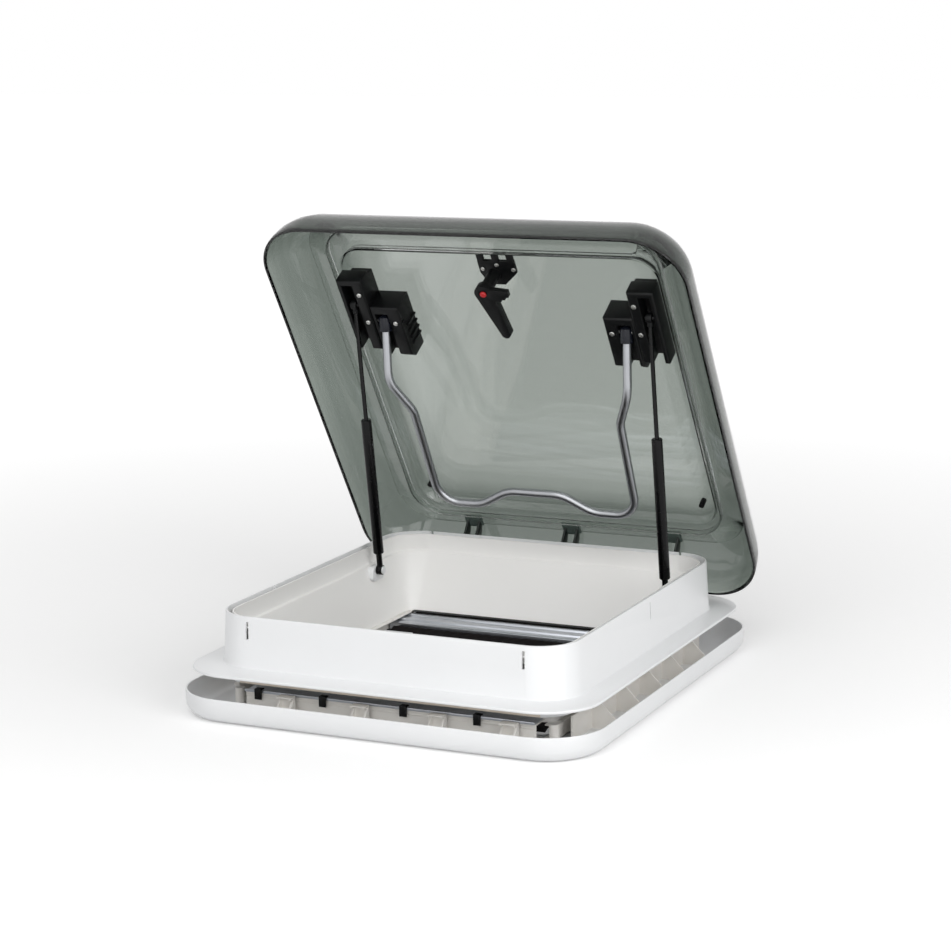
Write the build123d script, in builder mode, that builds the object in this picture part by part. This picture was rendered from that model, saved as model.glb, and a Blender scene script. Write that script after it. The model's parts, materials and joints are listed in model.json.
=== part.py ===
from build123d import *
from math import atan2, cos, degrees, hypot, radians, sin, tan
import os

# Caravan roof vent with a hinged smoked lid, in millimetres. The ceiling tray stands on z = 0,
# x runs along the hinge, y runs from the latch side to the hinge side, and z points up.
# The origin is the centre of the ceiling screws, on the tray's room-side face.
# The lid is drawn as it stands open.

# Clearances
seat_gap = 0.2
running_gap = 0.05
side_gap = 0.5
cut_overrun = 1.0

# Upstand frame
upstand_width = 500.0
upstand_length = 549.0
upstand_height = 73.5
upstand_wall = 3.0
upstand_draft_angle = 2.3
upstand_corner = 54.0
rim_chamfer = 0.9
rim_chamfer_angle = 45
flange_side = 35.0
flange_end = 42.0
flange_thickness = 4.5
flange_corner = 72.0
flange_rounding = 1.8
cutout_side_inset = 5.0
cutout_end_inset = 4.5
collar_gap = 2.0
collar_wall = 3.0
collar_depth = 18.0
collar_corner = 40.0
frame_boss_radius = 6.0
frame_boss_height = 10.0
drain_slot_width = 2.6
drain_slot_height = 31.0
drain_slot_drop = 9.0
rim_notch_width = 4.0
rim_notch_depth = 5.0
slot_place_share = 0.39
side_slot_share = 0.023
side_notch_share = -0.2

# Ceiling tray
tray_height = 34.0
roof_gap = 26.0
tray_side = 44.3
tray_end = 52.3
tray_corner = 78.0
tray_bottom_rounding = 20.0
tray_band_angles = [0, 30, 60, 90]
tray_wall = 2.8
tray_mouth_rim = 10.0
tray_mouth_ledge = 2.4
side_wall_height = 36.0
side_wall_thickness = 2.5
gusset_thickness = 2.0
gusset_reach = 39.0
gusset_pitch = 82.0
gusset_count = 5
tray_boss_radius = 6.5
tray_boss_top = 30.0
screw_inset = 26.0
side_screw_inset = 13.5
screw_radius = 2.0
screw_hole_radius = 2.5
screw_head_height = 2.4
boss_hole_depth = 8.0

# Shaft lining inside the upstand
groove_width = 5.0
lining_wall = 2.3
lining_rim_drop = 2.5
lining_web_drop = 14.0
lining_web_thickness = 2.0
lining_ledge_drop = 26.0
lining_ledge_height = 3.0
lining_ledge_width = 5.0
lining_bottom_height = 24.0
lining_side_taper = 26.0
lining_end_taper = 37.0
lining_corner = 46.0
lining_bottom_corner = 16.0

# Blinds
bar_height = 13.6
bar_depth = 24.0
bar_slide_gap = 0.3
bar_spacing = 2.0
bar_ridge = 1.6
bar_groove = 3.0
bar_wall = 1.8
bar_from_edge = 7.0
guide_wall = 2.0
guide_overlap = 8.0
guide_depth = 16.5
guide_floor_height = 5.2
bar_end_gap = 3.0
cassette_depth = 28.0
cassette_wall = 2.0
cassette_top_height = 31.0
cassette_from_edge = 9.0
rail_thickness = 3.3
rail_lip = 3.5
rail_depth = 26.0
clip_width = 10.0
clip_thickness = 2.2
clip_leg = 14.0
clip_shares = (-0.9, -0.44, 0.12, 0.62)
screen_thickness = 0.6
screen_fold_pitch = 20.0
screen_fold_height = 3.4
blind_thickness = 0.45
blind_fold_count = 5
blind_fold_height = 7.0
blind_end_gap = 0.3
blind_rear_reach = 1.0
lip_seal_height = 1.2

# Roof clamps
clamp_width = 22.0
clamp_depth = 24.0
clamp_thickness = 3.4
clamp_leg = 13.0
clamp_screw_head = 3.4
clamp_shares = (-0.68, -0.16, 0.37, 0.85)

# Hinge line
hinge_standoff = 36.5
hinge_drop = 44.5
hinge_place = 158.0
hinge_pin_radius = 3.0
hinge_eye_radius = 8.0
hinge_arm_width = 14.0
hinge_cheek = 3.0
hinge_cheek_gap = 0.8
hinge_plate_thickness = 3.5
hinge_plate_width = 34.0
hinge_plate_height = 36.0
hinge_foot_thickness = 3.0
hinge_foot_length = 19.0

# Lid
lid_open_angle = 57.5
lid_side_overhang = 58.2
lid_front_overhang = 41.5
lid_rear_overhang = 51.5
lid_rim_rise = 12.0
lid_corner = 75.0
dome_depth = 106.0
dome_wall = 3.5
dome_shoulder = 108.0
dome_rim_straight = 8.0
dome_corner_share = 0.45
dome_band_angles = [0, 22, 42, 60, 76, 90]
pane_depth = 70.0
pane_thickness = 3.0
panel_depth = 84.0
panel_beyond_strut = 10.0
panel_front_inset = 94.0
panel_rear_inset = 74.0
panel_corner = 30.0
panel_draft = 4.0
seal_width = 3.0
seal_reach = 2.0
peg_radius = 4.0
peg_length = 14.0
peg_from_side = 15.5
peg_from_rear = 33.0

# Strut blocks and bow blocks on the lid
strut_inset = 30.0
strut_pivot_along = 170.0
strut_pivot_depth = 50.0
strut_block_front = 46.0
strut_block_rear = 76.0
strut_block_outer = 15.0
strut_block_inner = 23.5
strut_block_face = 44.0
strut_channel_half = 8.5
strut_channel_floor = 66.0
strut_channel_front = 38.0
strut_foot_inset = 7.0
bow_block_outer = 15.3
bow_pivot_along = 196.5
bow_pivot_depth = 50.0
bow_block_front = 26.0
bow_block_rear = 66.0
bow_block_inner = 28.0
bow_block_face = 45.0
bow_channel_half = 10.0
bow_channel_floor = 68.0
block_chamfer = 2.0
block_rib_width = 3.0
block_rib_pitch = 11.0
block_rib_count = 4
block_rib_height = 2.5
block_screw_radius = 3.6
block_screw_height = 2.0

# Bow
bow_radius = 6.0
bow_swing_angle = 13.4
bow_rear_inset = 148.5
bow_bulge = 24.0
bow_knee_radius = 42.0
bow_elbow_radius = 40.0
bow_corner_radius = 34.0
bow_dip_radius = 52.0
bow_rise_radius = 52.0
# Bends of one half of the bow, as shares of its half width, its drop and its bulge towards the room
bow_bend_shares = (
    (0.994, 0.283, 1.0),
    (0.867, 0.458, 0.417),
    (0.845, 1.0, -0.5),
    (0.475, 0.997, -0.5),
    (0.232, 0.912, -0.5),
)
bow_cap_radius = 9.0
bow_cap_length = 15.0
bow_cap_chamfer = 4.5
bow_pin_radius = 3.0
bow_pin_reach = 3.0

# Latch
latch_across = -6.0
latch_along = 128.0
latch_plate_front = 107.0
latch_plate_thickness = 5.0
latch_plate_half = 27.0
latch_plate_neck = 12.0
latch_plate_length = 40.0
latch_prong_width = 9.0
latch_prong_length = 14.0
latch_prong_place = 22.0
latch_post_radius = 9.0
latch_pin_radius = 3.0
latch_pin_length = 5.0
lever_depth = 46.0
lever_thickness = 12.0
lever_length = 72.0
lever_head_radius = 13.0
lever_tip_radius = 6.5
lever_lean_angle = 12.5
nose_reach = 36.0
nose_width = 9.0
nose_thickness = 7.8
nose_step = 6.0
button_radius = 4.6
button_height = 7.0
button_proud = 2.6
button_travel = 2.0
# Places of the latch screws, as shares of the plate's half width and of its length
latch_screw_shares = ((-0.78, 0.33), (0.04, 0.15), (0.89, 0.33))
latch_screw_radius = 3.2
latch_screw_height = 1.6
striker_width = 40.0
striker_reach = 49.0
striker_tongue = 3.5
striker_gap = 0.7
striker_plate = 3.0
striker_rib = 3.0

# Gas struts
strut_foot_from_hinge = 161.0
strut_foot_drop = 33.5
strut_tube_radius = 7.5
strut_tube_wall = 1.2
strut_tube_start = 27.0
strut_tube_length = 201.0
strut_neck_radius = 4.2
strut_rod_radius = 3.0
strut_gland_length = 7.0
strut_piston_length = 8.0
strut_piston_gap = 0.08
strut_piston_inset = 26.0
strut_eye_radius = 7.0
strut_eye_width = 8.0
strut_stud_radius = 4.0
strut_stud_head = 5.6
strut_stud_head_length = 2.0
strut_end_neck = 12.0
strut_end_pin = 14.0
foot_pad_front = 15.0
foot_pad_rear = 22.0
foot_pad_height = 32.0
foot_pad_corner = 8.0
foot_pad_gap = 0.4
foot_screw_offset = 15.0

# Heights and places worked out from the sizes above
flange_height = tray_height + roof_gap
rim_height = flange_height + upstand_height
wall_slope = tan(radians(upstand_draft_angle))
tray_width = upstand_width + 2 * tray_side
tray_length = upstand_length + 2 * tray_end
collar_width = upstand_width - 2 * (cutout_side_inset + collar_gap)
collar_length = upstand_length - 2 * (cutout_end_inset + collar_gap)
collar_bottom = flange_height - collar_depth
hinge_y = upstand_length / 2 + hinge_standoff
hinge_z = rim_height - hinge_drop
lid_width = upstand_width + 2 * lid_side_overhang
lid_length = upstand_length + lid_front_overhang + lid_rear_overhang
lid_front_y = -upstand_length / 2 - lid_front_overhang
lid_rim_z = flange_height + lid_rim_rise
strut_place = upstand_width / 2 - strut_inset
bow_place = strut_place - strut_block_inner - seat_gap - bow_block_outer
strut_foot_along = hinge_y - strut_foot_from_hinge
strut_foot_height = rim_height - strut_foot_drop
panel_width = 2 * (strut_place + panel_beyond_strut)
panel_length = lid_length - panel_front_inset - panel_rear_inset
panel_along = panel_front_inset + panel_length / 2
bow_drop = lid_length - bow_pivot_along - bow_rear_inset


def wall_half(size, height):
    # Half of the upstand's outer size at a height, with its draft
    return size / 2 + (rim_height - height) * wall_slope


def wall_outline(height, inset):
    # The upstand's outline at a height, moved inwards, for the sketch that is being drawn
    grow = (rim_height - height) * wall_slope - inset
    return RectangleRounded(upstand_width + 2 * grow, upstand_length + 2 * grow, upstand_corner + grow)


def rectangle_between(low, high, mode=Mode.ADD):
    # A rectangle given by two of its corners, for the sketch that is being drawn
    with Locations(((low[0] + high[0]) / 2, (low[1] + high[1]) / 2)):
        return Rectangle(abs(high[0] - low[0]), abs(high[1] - low[1]), mode=mode)


# The lid's own frame: x across, y down the lid from its front rim, z outwards through the dome
swing = radians(lid_open_angle)
front_dy = lid_front_y - hinge_y
front_dz = lid_rim_z - hinge_z
lid_origin = Vector(
    0,
    hinge_y + front_dy * cos(swing) + front_dz * sin(swing),
    hinge_z - front_dy * sin(swing) + front_dz * cos(swing),
)
lid_down = Vector(0, cos(swing), -sin(swing))
lid_out = Vector(0, sin(swing), cos(swing))
lid_axis = Axis(lid_origin, lid_out)


def lid_point(across, along, depth):
    return lid_origin + Vector(across, 0, 0) + lid_down * along + lid_out * depth


def lid_level(depth, along=0, across=0):
    return Plane(origin=lid_point(across, along, depth), x_dir=(1, 0, 0), z_dir=lid_out)


def lid_side(across):
    # A plane square to x, whose own x runs down the lid and whose own y runs outwards
    return Plane(origin=lid_point(across, 0, 0), x_dir=lid_down, z_dir=(1, 0, 0))


def finish(part, name):
    part.part.label = name
    export_step(part.part, "parts/" + name + ".step")


os.makedirs("parts", exist_ok=True)

# Upstand frame: flange on the roof, drafted wall with its rim, collar down into the cut-out
with BuildPart() as upstand_frame:
    with BuildSketch(Plane.XY.offset(flange_height)):
        RectangleRounded(upstand_width + 2 * flange_side, upstand_length + 2 * flange_end, flange_corner)
    extrude(amount=flange_thickness)
    fillet(upstand_frame.edges().group_by(Axis.Z)[-1], flange_rounding)
    with BuildSketch(Plane.XY.offset(flange_height)):
        wall_outline(flange_height, 0)
    extrude(amount=upstand_height - rim_chamfer, taper=upstand_draft_angle)
    with BuildSketch(Plane.XY.offset(rim_height - rim_chamfer)):
        wall_outline(rim_height - rim_chamfer, 0)
    extrude(amount=rim_chamfer, taper=rim_chamfer_angle)
    wall_inside = flange_height + flange_thickness
    with BuildSketch(Plane.XY.offset(wall_inside)):
        wall_outline(wall_inside, upstand_wall)
    extrude(
        amount=rim_height + cut_overrun - wall_inside, taper=upstand_draft_angle, mode=Mode.SUBTRACT
    )
    with BuildSketch(Plane.XY.offset(collar_bottom)):
        RectangleRounded(collar_width, collar_length, collar_corner)
    extrude(amount=collar_depth)
    with BuildSketch(Plane.XY.offset(collar_bottom)):
        RectangleRounded(
            collar_width - 2 * collar_wall, collar_length - 2 * collar_wall, collar_corner - collar_wall
        )
    extrude(amount=collar_depth + flange_thickness, mode=Mode.SUBTRACT)
    # Bosses for the ceiling screws, joined to the collar's inner face by a web
    corner_x = collar_width / 2 - collar_wall - screw_inset / 2 - collar_wall
    corner_y = collar_length / 2 - collar_wall - screw_inset / 2 - collar_wall
    side_x = collar_width / 2 - side_screw_inset
    for across in (-1, 1):
        for along in (-1, 1):
            with BuildSketch(Plane.XY.offset(collar_bottom)):
                with Locations((across * corner_x, along * corner_y)):
                    Circle(frame_boss_radius)
                with Locations((across * (corner_x + screw_inset / 4), along * corner_y)):
                    Rectangle(screw_inset / 2 + collar_wall, collar_wall)
                with Locations((across * corner_x, along * (corner_y + screw_inset / 4))):
                    Rectangle(collar_wall, screw_inset / 2 + collar_wall)
            extrude(amount=frame_boss_height)
        with BuildSketch(Plane.XY.offset(collar_bottom)):
            with Locations((across * side_x, 0)):
                Circle(frame_boss_radius)
            with Locations((across * (side_x + side_screw_inset / 2 - collar_wall / 2), 0)):
                Rectangle(side_screw_inset - collar_wall, collar_wall)
        extrude(amount=frame_boss_height)
    screw_places = [(a * corner_x, b * corner_y) for a in (-1, 1) for b in (-1, 1)]
    screw_places += [(-side_x, 0), (side_x, 0)]
    with BuildSketch(Plane.XY.offset(collar_bottom)):
        with Locations(*screw_places):
            Circle(screw_radius + seat_gap)
    extrude(amount=boss_hole_depth, mode=Mode.SUBTRACT)
    # Drain slots near the front corners and in the right side, and notches in the rim
    slot_x = slot_place_share * upstand_width
    slot_z = rim_height - drain_slot_drop - drain_slot_height / 2
    with BuildSketch(Plane.XZ.offset(upstand_length / 2 - upstand_wall - cut_overrun)):
        with Locations((-slot_x, slot_z), (slot_x, slot_z)):
            Rectangle(drain_slot_width, drain_slot_height)
    extrude(amount=upstand_wall + 4 * cut_overrun, mode=Mode.SUBTRACT)
    with BuildSketch(Plane.YZ.offset(upstand_width / 2 - upstand_wall - cut_overrun)):
        with Locations((side_slot_share * upstand_length, slot_z)):
            Rectangle(drain_slot_width / 2, drain_slot_height)
    extrude(amount=upstand_wall + 4 * cut_overrun, mode=Mode.SUBTRACT)
    notch_z = rim_height - rim_notch_depth / 2 + cut_overrun
    with BuildSketch(Plane.XZ.offset(-upstand_length / 2 - 2 * cut_overrun)):
        with Locations((-slot_x, notch_z), (slot_x, notch_z)):
            Rectangle(rim_notch_width, rim_notch_depth + 2 * cut_overrun)
    extrude(amount=upstand_wall + 3 * cut_overrun, mode=Mode.SUBTRACT)
    with BuildSketch(Plane.YZ.offset(-upstand_width / 2 - 2 * cut_overrun)):
        with Locations((side_notch_share * upstand_length, notch_z)):
            Rectangle(rim_notch_width, rim_notch_depth + 2 * cut_overrun)
    extrude(amount=upstand_wall + 3 * cut_overrun, mode=Mode.SUBTRACT)
finish(upstand_frame, "upstand_frame")

# Shaft lining: a tapered inner wall with a ledge, hung on the upstand by a web under its groove
lip_half_x = upstand_width / 2 - upstand_wall - groove_width - lining_wall
lip_half_y = upstand_length / 2 - upstand_wall - groove_width - lining_wall
lining_top = rim_height - lining_rim_drop
ledge_top = rim_height - lining_ledge_drop
ledge_bottom = ledge_top - lining_ledge_height
ledge_half_x = lip_half_x - lining_ledge_width
ledge_half_y = lip_half_y - lining_ledge_width
opening_half_x = lip_half_x - lining_side_taper
opening_half_y = lip_half_y - lining_end_taper
ledge_angle = degrees(atan2(lining_ledge_width, lining_ledge_height))


def lining_half(height):
    # Half of the lining's inner width at a height below the ledge
    share = (height - lining_bottom_height) / (ledge_bottom - lining_bottom_height)
    return opening_half_x + share * (ledge_half_x - opening_half_x)


def lining_outline(half_x, half_y, corner, wall):
    # A rounded rectangle on the lining's inner face or, with a wall, on its outer face
    return RectangleRounded(2 * (half_x + wall), 2 * (half_y + wall), corner + wall)


with BuildPart() as shaft_lining:
    for wall, mode in ((lining_wall, Mode.ADD), (0, Mode.SUBTRACT)):
        with BuildSketch(Plane.XY.offset(ledge_top)):
            lining_outline(lip_half_x, lip_half_y, lining_corner, wall)
        extrude(amount=lining_top - ledge_top, mode=mode)
        with BuildSketch(Plane.XY.offset(ledge_top)):
            lining_outline(lip_half_x, lip_half_y, lining_corner, wall)
        extrude(amount=-lining_ledge_height, taper=ledge_angle, mode=mode)
        with BuildSketch(Plane.XY.offset(lining_bottom_height)):
            lining_outline(opening_half_x, opening_half_y, lining_bottom_corner, wall)
        with BuildSketch(Plane.XY.offset(ledge_bottom)):
            lining_outline(ledge_half_x, ledge_half_y, lining_corner - lining_ledge_width, wall)
        loft(ruled=True, mode=mode)
    web_top = rim_height - lining_web_drop
    with BuildSketch(Plane.XY.offset(web_top - lining_web_thickness)):
        wall_outline(web_top, upstand_wall + seat_gap)
        offset(amount=-groove_width - lining_wall / 2, mode=Mode.SUBTRACT)
    extrude(amount=lining_web_thickness)
finish(shaft_lining, "shaft_lining")

# Ceiling tray: bowl-edged, with the mouth's rim, tall side walls with gussets, and screw bosses
mouth_half_x = opening_half_x - tray_mouth_rim
mouth_half_y = opening_half_y - tray_mouth_rim / 2
side_wall_x = collar_width / 2 - collar_wall - side_wall_thickness


def tray_levels(wall):
    # Height and inset of each section of the rounded bottom edge, outside or, with a wall, inside
    radius = tray_bottom_rounding - wall
    bends = [radians(angle) for angle in tray_band_angles]
    return [(tray_bottom_rounding - radius * cos(bend), wall + radius * (1 - sin(bend))) for bend in bends]


with BuildPart() as ceiling_tray:
    for wall, mode in ((0, Mode.ADD), (tray_wall, Mode.SUBTRACT)):
        levels = tray_levels(wall) + [(tray_height, wall)]
        for height, inset in levels:
            with BuildSketch(Plane.XY.offset(height)):
                RectangleRounded(tray_width - 2 * inset, tray_length - 2 * inset, tray_corner - inset)
        loft(ruled=True, mode=mode)
    # What stands on the floor starts within it
    root = tray_wall / 2
    with BuildSketch(Plane.XY.offset(root)):
        RectangleRounded(
            2 * (mouth_half_x + tray_mouth_ledge), 2 * (mouth_half_y + tray_mouth_ledge), lining_bottom_corner
        )
    extrude(amount=guide_floor_height - seat_gap - root)
    for across in (-1, 1):
        wall_face = side_wall_x + side_wall_thickness
        with BuildSketch(Plane.XY.offset(root)):
            rectangle_between(
                (across * side_wall_x, collar_corner - collar_length / 2),
                (across * wall_face, collar_length / 2 - collar_corner),
            )
        extrude(amount=side_wall_height - root)
        for number in range(gusset_count):
            gusset_y = (number - (gusset_count - 1) / 2) * gusset_pitch
            with BuildSketch(Plane.XZ.offset(-gusset_y - gusset_thickness / 2)):
                with BuildLine():
                    Polyline(
                        (across * (wall_face - side_wall_thickness / 2), root),
                        (across * (wall_face + gusset_reach), root),
                        (across * (wall_face + gusset_reach), tray_wall),
                        (across * wall_face, side_wall_height),
                        (across * (wall_face - side_wall_thickness / 2), side_wall_height),
                        close=True,
                    )
                make_face()
            extrude(amount=gusset_thickness)
    with BuildSketch(Plane.XY.offset(root)):
        with Locations(*screw_places):
            Circle(tray_boss_radius)
        for across in (-1, 1):
            rectangle_between(
                (across * side_x, -side_wall_thickness / 2),
                (across * (side_wall_x + side_wall_thickness / 2), side_wall_thickness / 2),
            )
    extrude(amount=tray_boss_top - root)
    with BuildSketch():
        RectangleRounded(2 * mouth_half_x, 2 * mouth_half_y, lining_bottom_corner - tray_mouth_ledge)
    extrude(amount=tray_height, mode=Mode.SUBTRACT)
    with BuildSketch():
        with Locations(*screw_places):
            Circle(screw_hole_radius)
    extrude(amount=tray_height, mode=Mode.SUBTRACT)
finish(ceiling_tray, "ceiling_tray")

# Guide rails under the lining's side edges: channels that the pull bars run in
guide_inner_x = opening_half_x - guide_overlap
guide_outer_x = guide_inner_x + guide_depth
guide_top = lining_bottom_height - seat_gap
bar_base_height = guide_floor_height + guide_wall + bar_slide_gap
guide_half_y = opening_half_y + cassette_from_edge - seat_gap
for name, across in (("guide_rail_left", -1), ("guide_rail_right", 1)):
    with BuildPart() as guide_rail:
        with BuildSketch(Plane.XZ.offset(-guide_half_y)):
            rectangle_between(
                (across * guide_inner_x, guide_floor_height), (across * guide_outer_x, guide_top)
            )
            rectangle_between(
                (across * (guide_inner_x - guide_wall), guide_floor_height + guide_wall),
                (across * (guide_outer_x - guide_wall), guide_top - guide_wall),
                Mode.SUBTRACT,
            )
        extrude(amount=2 * guide_half_y)
    finish(guide_rail, name)


# Cassettes at both ends of the blinds, each with a metal rail on top and black clips over the rail
cassette_near = opening_half_y + cassette_from_edge
cassette_far = cassette_near + cassette_depth
cassette_half_x = mouth_half_x + tray_mouth_ledge
for end, along in (("front", -1), ("rear", 1)):
    with BuildPart() as cassette:
        with BuildSketch(Plane.YZ.offset(-cassette_half_x)):
            rectangle_between(
                (along * cassette_near, guide_floor_height), (along * cassette_far, cassette_top_height)
            )
            rectangle_between(
                (along * (cassette_near - cassette_wall), guide_floor_height + cassette_wall),
                (along * (cassette_far - cassette_wall), cassette_top_height - cassette_wall),
                Mode.SUBTRACT,
            )
        extrude(amount=2 * cassette_half_x)
    finish(cassette, end + "_cassette")
    rail_base = cassette_top_height + seat_gap
    with BuildPart() as rail:
        with BuildSketch(Plane.YZ.offset(-cassette_half_x)):
            rectangle_between(
                (along * (cassette_far + rail_lip - rail_depth), rail_base),
                (along * (cassette_far + rail_lip), rail_base + rail_thickness / 2),
            )
            rectangle_between(
                (along * (cassette_far + rail_lip / 2), rail_base),
                (along * (cassette_far + rail_lip), rail_base + rail_thickness),
            )
        extrude(amount=2 * cassette_half_x)
    finish(rail, end + "_rail")
    with BuildPart() as clips:
        clip_outer = cassette_far + rail_lip + seat_gap
        for share in clip_shares:
            with BuildSketch(Plane.YZ.offset(share * cassette_half_x - clip_width / 2)):
                rectangle_between(
                    (along * clip_outer, rail_base + rail_thickness + clip_thickness - clip_leg),
                    (along * (clip_outer + clip_thickness), rail_base + rail_thickness + clip_thickness),
                )
                rectangle_between(
                    (along * (clip_outer - clip_leg / 2), rail_base + rail_thickness + seat_gap),
                    (along * (clip_outer + clip_thickness), rail_base + rail_thickness + clip_thickness),
                )
            extrude(amount=clip_width)
    finish(clips, end + "_clips")

# Roof clamps: angled brackets on the tray's floor beside the cassettes, each held by a screw
clamp_start = cassette_far + rail_lip + clip_thickness + 2 * seat_gap + side_gap
clamp_base = tray_wall + seat_gap
clamp_top = tray_height - seat_gap
with BuildPart() as roof_clamps:
    for along in (-1, 1):
        for share in clamp_shares:
            middle = share * cassette_half_x
            with BuildSketch(Plane.YZ.offset(middle - clamp_width / 2)):
                with BuildLine():
                    Polyline(
                        (along * clamp_start, clamp_base),
                        (along * (clamp_start + clamp_depth), clamp_base),
                        (along * (clamp_start + clamp_depth), clamp_base + clamp_thickness),
                        (along * (clamp_start + clamp_thickness), clamp_top - clamp_thickness),
                        (along * (clamp_start + clamp_leg), clamp_top - clamp_thickness),
                        (along * (clamp_start + clamp_leg), clamp_top),
                        (along * clamp_start, clamp_top),
                        close=True,
                    )
                make_face()
            extrude(amount=clamp_width)
            with BuildSketch(Plane.YZ.offset(middle - clamp_width / 2 + clamp_thickness)):
                with BuildLine():
                    Polyline(
                        (along * (clamp_start + clamp_thickness), clamp_base + clamp_thickness),
                        (along * (clamp_start + clamp_depth), clamp_base + clamp_thickness),
                        (along * (clamp_start + clamp_depth), clamp_top),
                        (along * (clamp_start + clamp_thickness), clamp_top - clamp_thickness),
                        close=True,
                    )
                make_face()
            extrude(amount=clamp_width - 2 * clamp_thickness, mode=Mode.SUBTRACT)
finish(roof_clamps, "roof_clamps")

with BuildPart() as clamp_screws:
    for along in (-1, 1):
        for share in clamp_shares:
            with BuildSketch(Plane.XY.offset(clamp_base + clamp_thickness + seat_gap)):
                with Locations((share * cassette_half_x, along * (clamp_start + clamp_depth / 2))):
                    Circle(clamp_screw_head)
            extrude(amount=screw_head_height)
finish(clamp_screws, "clamp_screws")

# Pull bars: ridged extrusions across the opening, both drawn to the rear
bar_half_x = guide_outer_x - guide_wall - bar_end_gap
blind_bar_rear = opening_half_y - bar_from_edge
screen_bar_rear = blind_bar_rear - bar_depth - bar_spacing
bar_top = bar_base_height + bar_height


def bar_profile(rear):
    # Section of a pull bar in the YZ plane: a flat foot, two ridges on top and a finger groove
    front = rear - bar_depth
    middle = (front + rear) / 2
    return [
        (front, bar_base_height),
        (rear, bar_base_height),
        (rear, bar_top - bar_ridge),
        (rear - bar_ridge, bar_top),
        (middle + bar_groove, bar_top),
        (middle + bar_groove / 2, bar_top - bar_groove),
        (middle - bar_groove / 2, bar_top - bar_groove),
        (middle - bar_groove, bar_top - bar_ridge),
        (front + bar_groove, bar_top - bar_ridge),
        (front, bar_top - bar_groove),
    ]


for name, rear in (("blind_bar", blind_bar_rear), ("screen_bar", screen_bar_rear)):
    with BuildPart() as pull_bar:
        with BuildSketch(Plane.YZ.offset(-bar_half_x)):
            with BuildLine():
                Polyline(*bar_profile(rear), close=True)
            make_face()
            with Locations((rear - bar_depth / 2, bar_base_height + (bar_height - bar_groove) / 2)):
                Rectangle(
                    bar_depth - 2 * bar_wall, bar_height - bar_groove - 2 * bar_wall, mode=Mode.SUBTRACT
                )
        extrude(amount=2 * bar_half_x)
    finish(pull_bar, name)


def folded_sheet(start, stop, folds, height, thickness):
    # Zigzag section of a folded sheet in the YZ plane, level with the middle of the bars
    steps = 2 * folds
    stride = (stop - start) / steps
    rise = thickness * hypot(stride, height) / stride
    low = bar_base_height + (bar_height - height - rise) / 2
    under = [(start + stride * step, low + (height if step % 2 else 0)) for step in range(steps + 1)]
    return under + [(y, z + rise) for y, z in reversed(under)]


# Fly screen, drawn from the front cassette to its bar, with shallow folds
sheet_half_x = guide_inner_x - side_gap
screen_front_y = -cassette_near + cassette_wall
screen_bar_front = screen_bar_rear - bar_depth
screen_folds = round((screen_bar_front - screen_front_y) / screen_fold_pitch)
with BuildPart() as fly_screen:
    screen_section = folded_sheet(
        screen_front_y,
        screen_bar_front - seat_gap,
        screen_folds,
        screen_fold_height,
        screen_thickness,
    )
    with BuildSketch(Plane.YZ.offset(-sheet_half_x)):
        with BuildLine():
            Polyline(*screen_section, close=True)
        make_face()
    extrude(amount=2 * sheet_half_x)
finish(fly_screen, "fly_screen")

# Blackout blind, folded up between its bar and the rear cassette
with BuildPart() as blackout_blind:
    blind_section = folded_sheet(
        blind_bar_rear + blind_end_gap,
        cassette_near + blind_rear_reach,
        blind_fold_count,
        blind_fold_height,
        blind_thickness,
    )
    with BuildSketch(Plane.YZ.offset(-sheet_half_x)):
        with BuildLine():
            Polyline(*blind_section, close=True)
        make_face()
    extrude(amount=2 * sheet_half_x)
finish(blackout_blind, "blackout_blind")

# Black lip along the lining's rear edge, over the folded blind
with BuildPart() as rear_lip_seal:
    with BuildSketch(Plane.XY.offset(guide_top - lip_seal_height)):
        rectangle_between((-sheet_half_x, blind_bar_rear + seat_gap), (sheet_half_x, cassette_near - seat_gap))
    extrude(amount=lip_seal_height)
finish(rear_lip_seal, "rear_lip_seal")

# Fixed hinge brackets on the upstand's rear wall, and their pins
for name, across in (("left", -1), ("mid", 0), ("right", 1)):
    middle = across * hinge_place
    with BuildPart() as hinge_bracket:
        plate_low = hinge_z - hinge_plate_height / 2
        plate_high = hinge_z + hinge_plate_height / 2
        low_y = wall_half(upstand_length, plate_low) + seat_gap
        high_y = wall_half(upstand_length, plate_high) + seat_gap
        arm_y = (low_y + high_y + hinge_plate_thickness) / 2
        with BuildSketch(Plane.YZ.offset(middle)):
            with BuildLine():
                Polyline(
                    (low_y, plate_low),
                    (low_y + hinge_plate_thickness, plate_low),
                    (high_y + hinge_plate_thickness, plate_high),
                    (high_y, plate_high),
                    close=True,
                )
            make_face()
        extrude(amount=hinge_plate_width / 2, both=True)
        with BuildSketch(Plane.YZ.offset(middle)):
            with BuildLine():
                Polyline(
                    (arm_y, hinge_z - hinge_arm_width),
                    (hinge_y, hinge_z - hinge_eye_radius),
                    (hinge_y, hinge_z + hinge_eye_radius),
                    (arm_y, hinge_z + hinge_arm_width),
                    close=True,
                )
            make_face()
            with Locations((hinge_y, hinge_z)):
                Circle(hinge_eye_radius)
        extrude(amount=hinge_arm_width / 2, both=True)
        with BuildSketch(Plane.YZ.offset(middle)):
            with Locations((hinge_y, hinge_z)):
                Circle(hinge_pin_radius + running_gap)
        extrude(amount=hinge_arm_width, both=True, mode=Mode.SUBTRACT)
    finish(hinge_bracket, "hinge_bracket_" + name)

hinge_outer_half = hinge_arm_width / 2 + hinge_cheek_gap + hinge_cheek
with BuildPart() as hinge_pins:
    for across in (-1, 0, 1):
        with BuildSketch(Plane.YZ.offset(across * hinge_place)):
            with Locations((hinge_y, hinge_z)):
                Circle(hinge_pin_radius)
        extrude(amount=hinge_outer_half + hinge_cheek_gap, both=True)
finish(hinge_pins, "hinge_pins")

# Lid dome: a deep shell whose shoulders roll over in bands from the rim to the flat top


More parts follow.
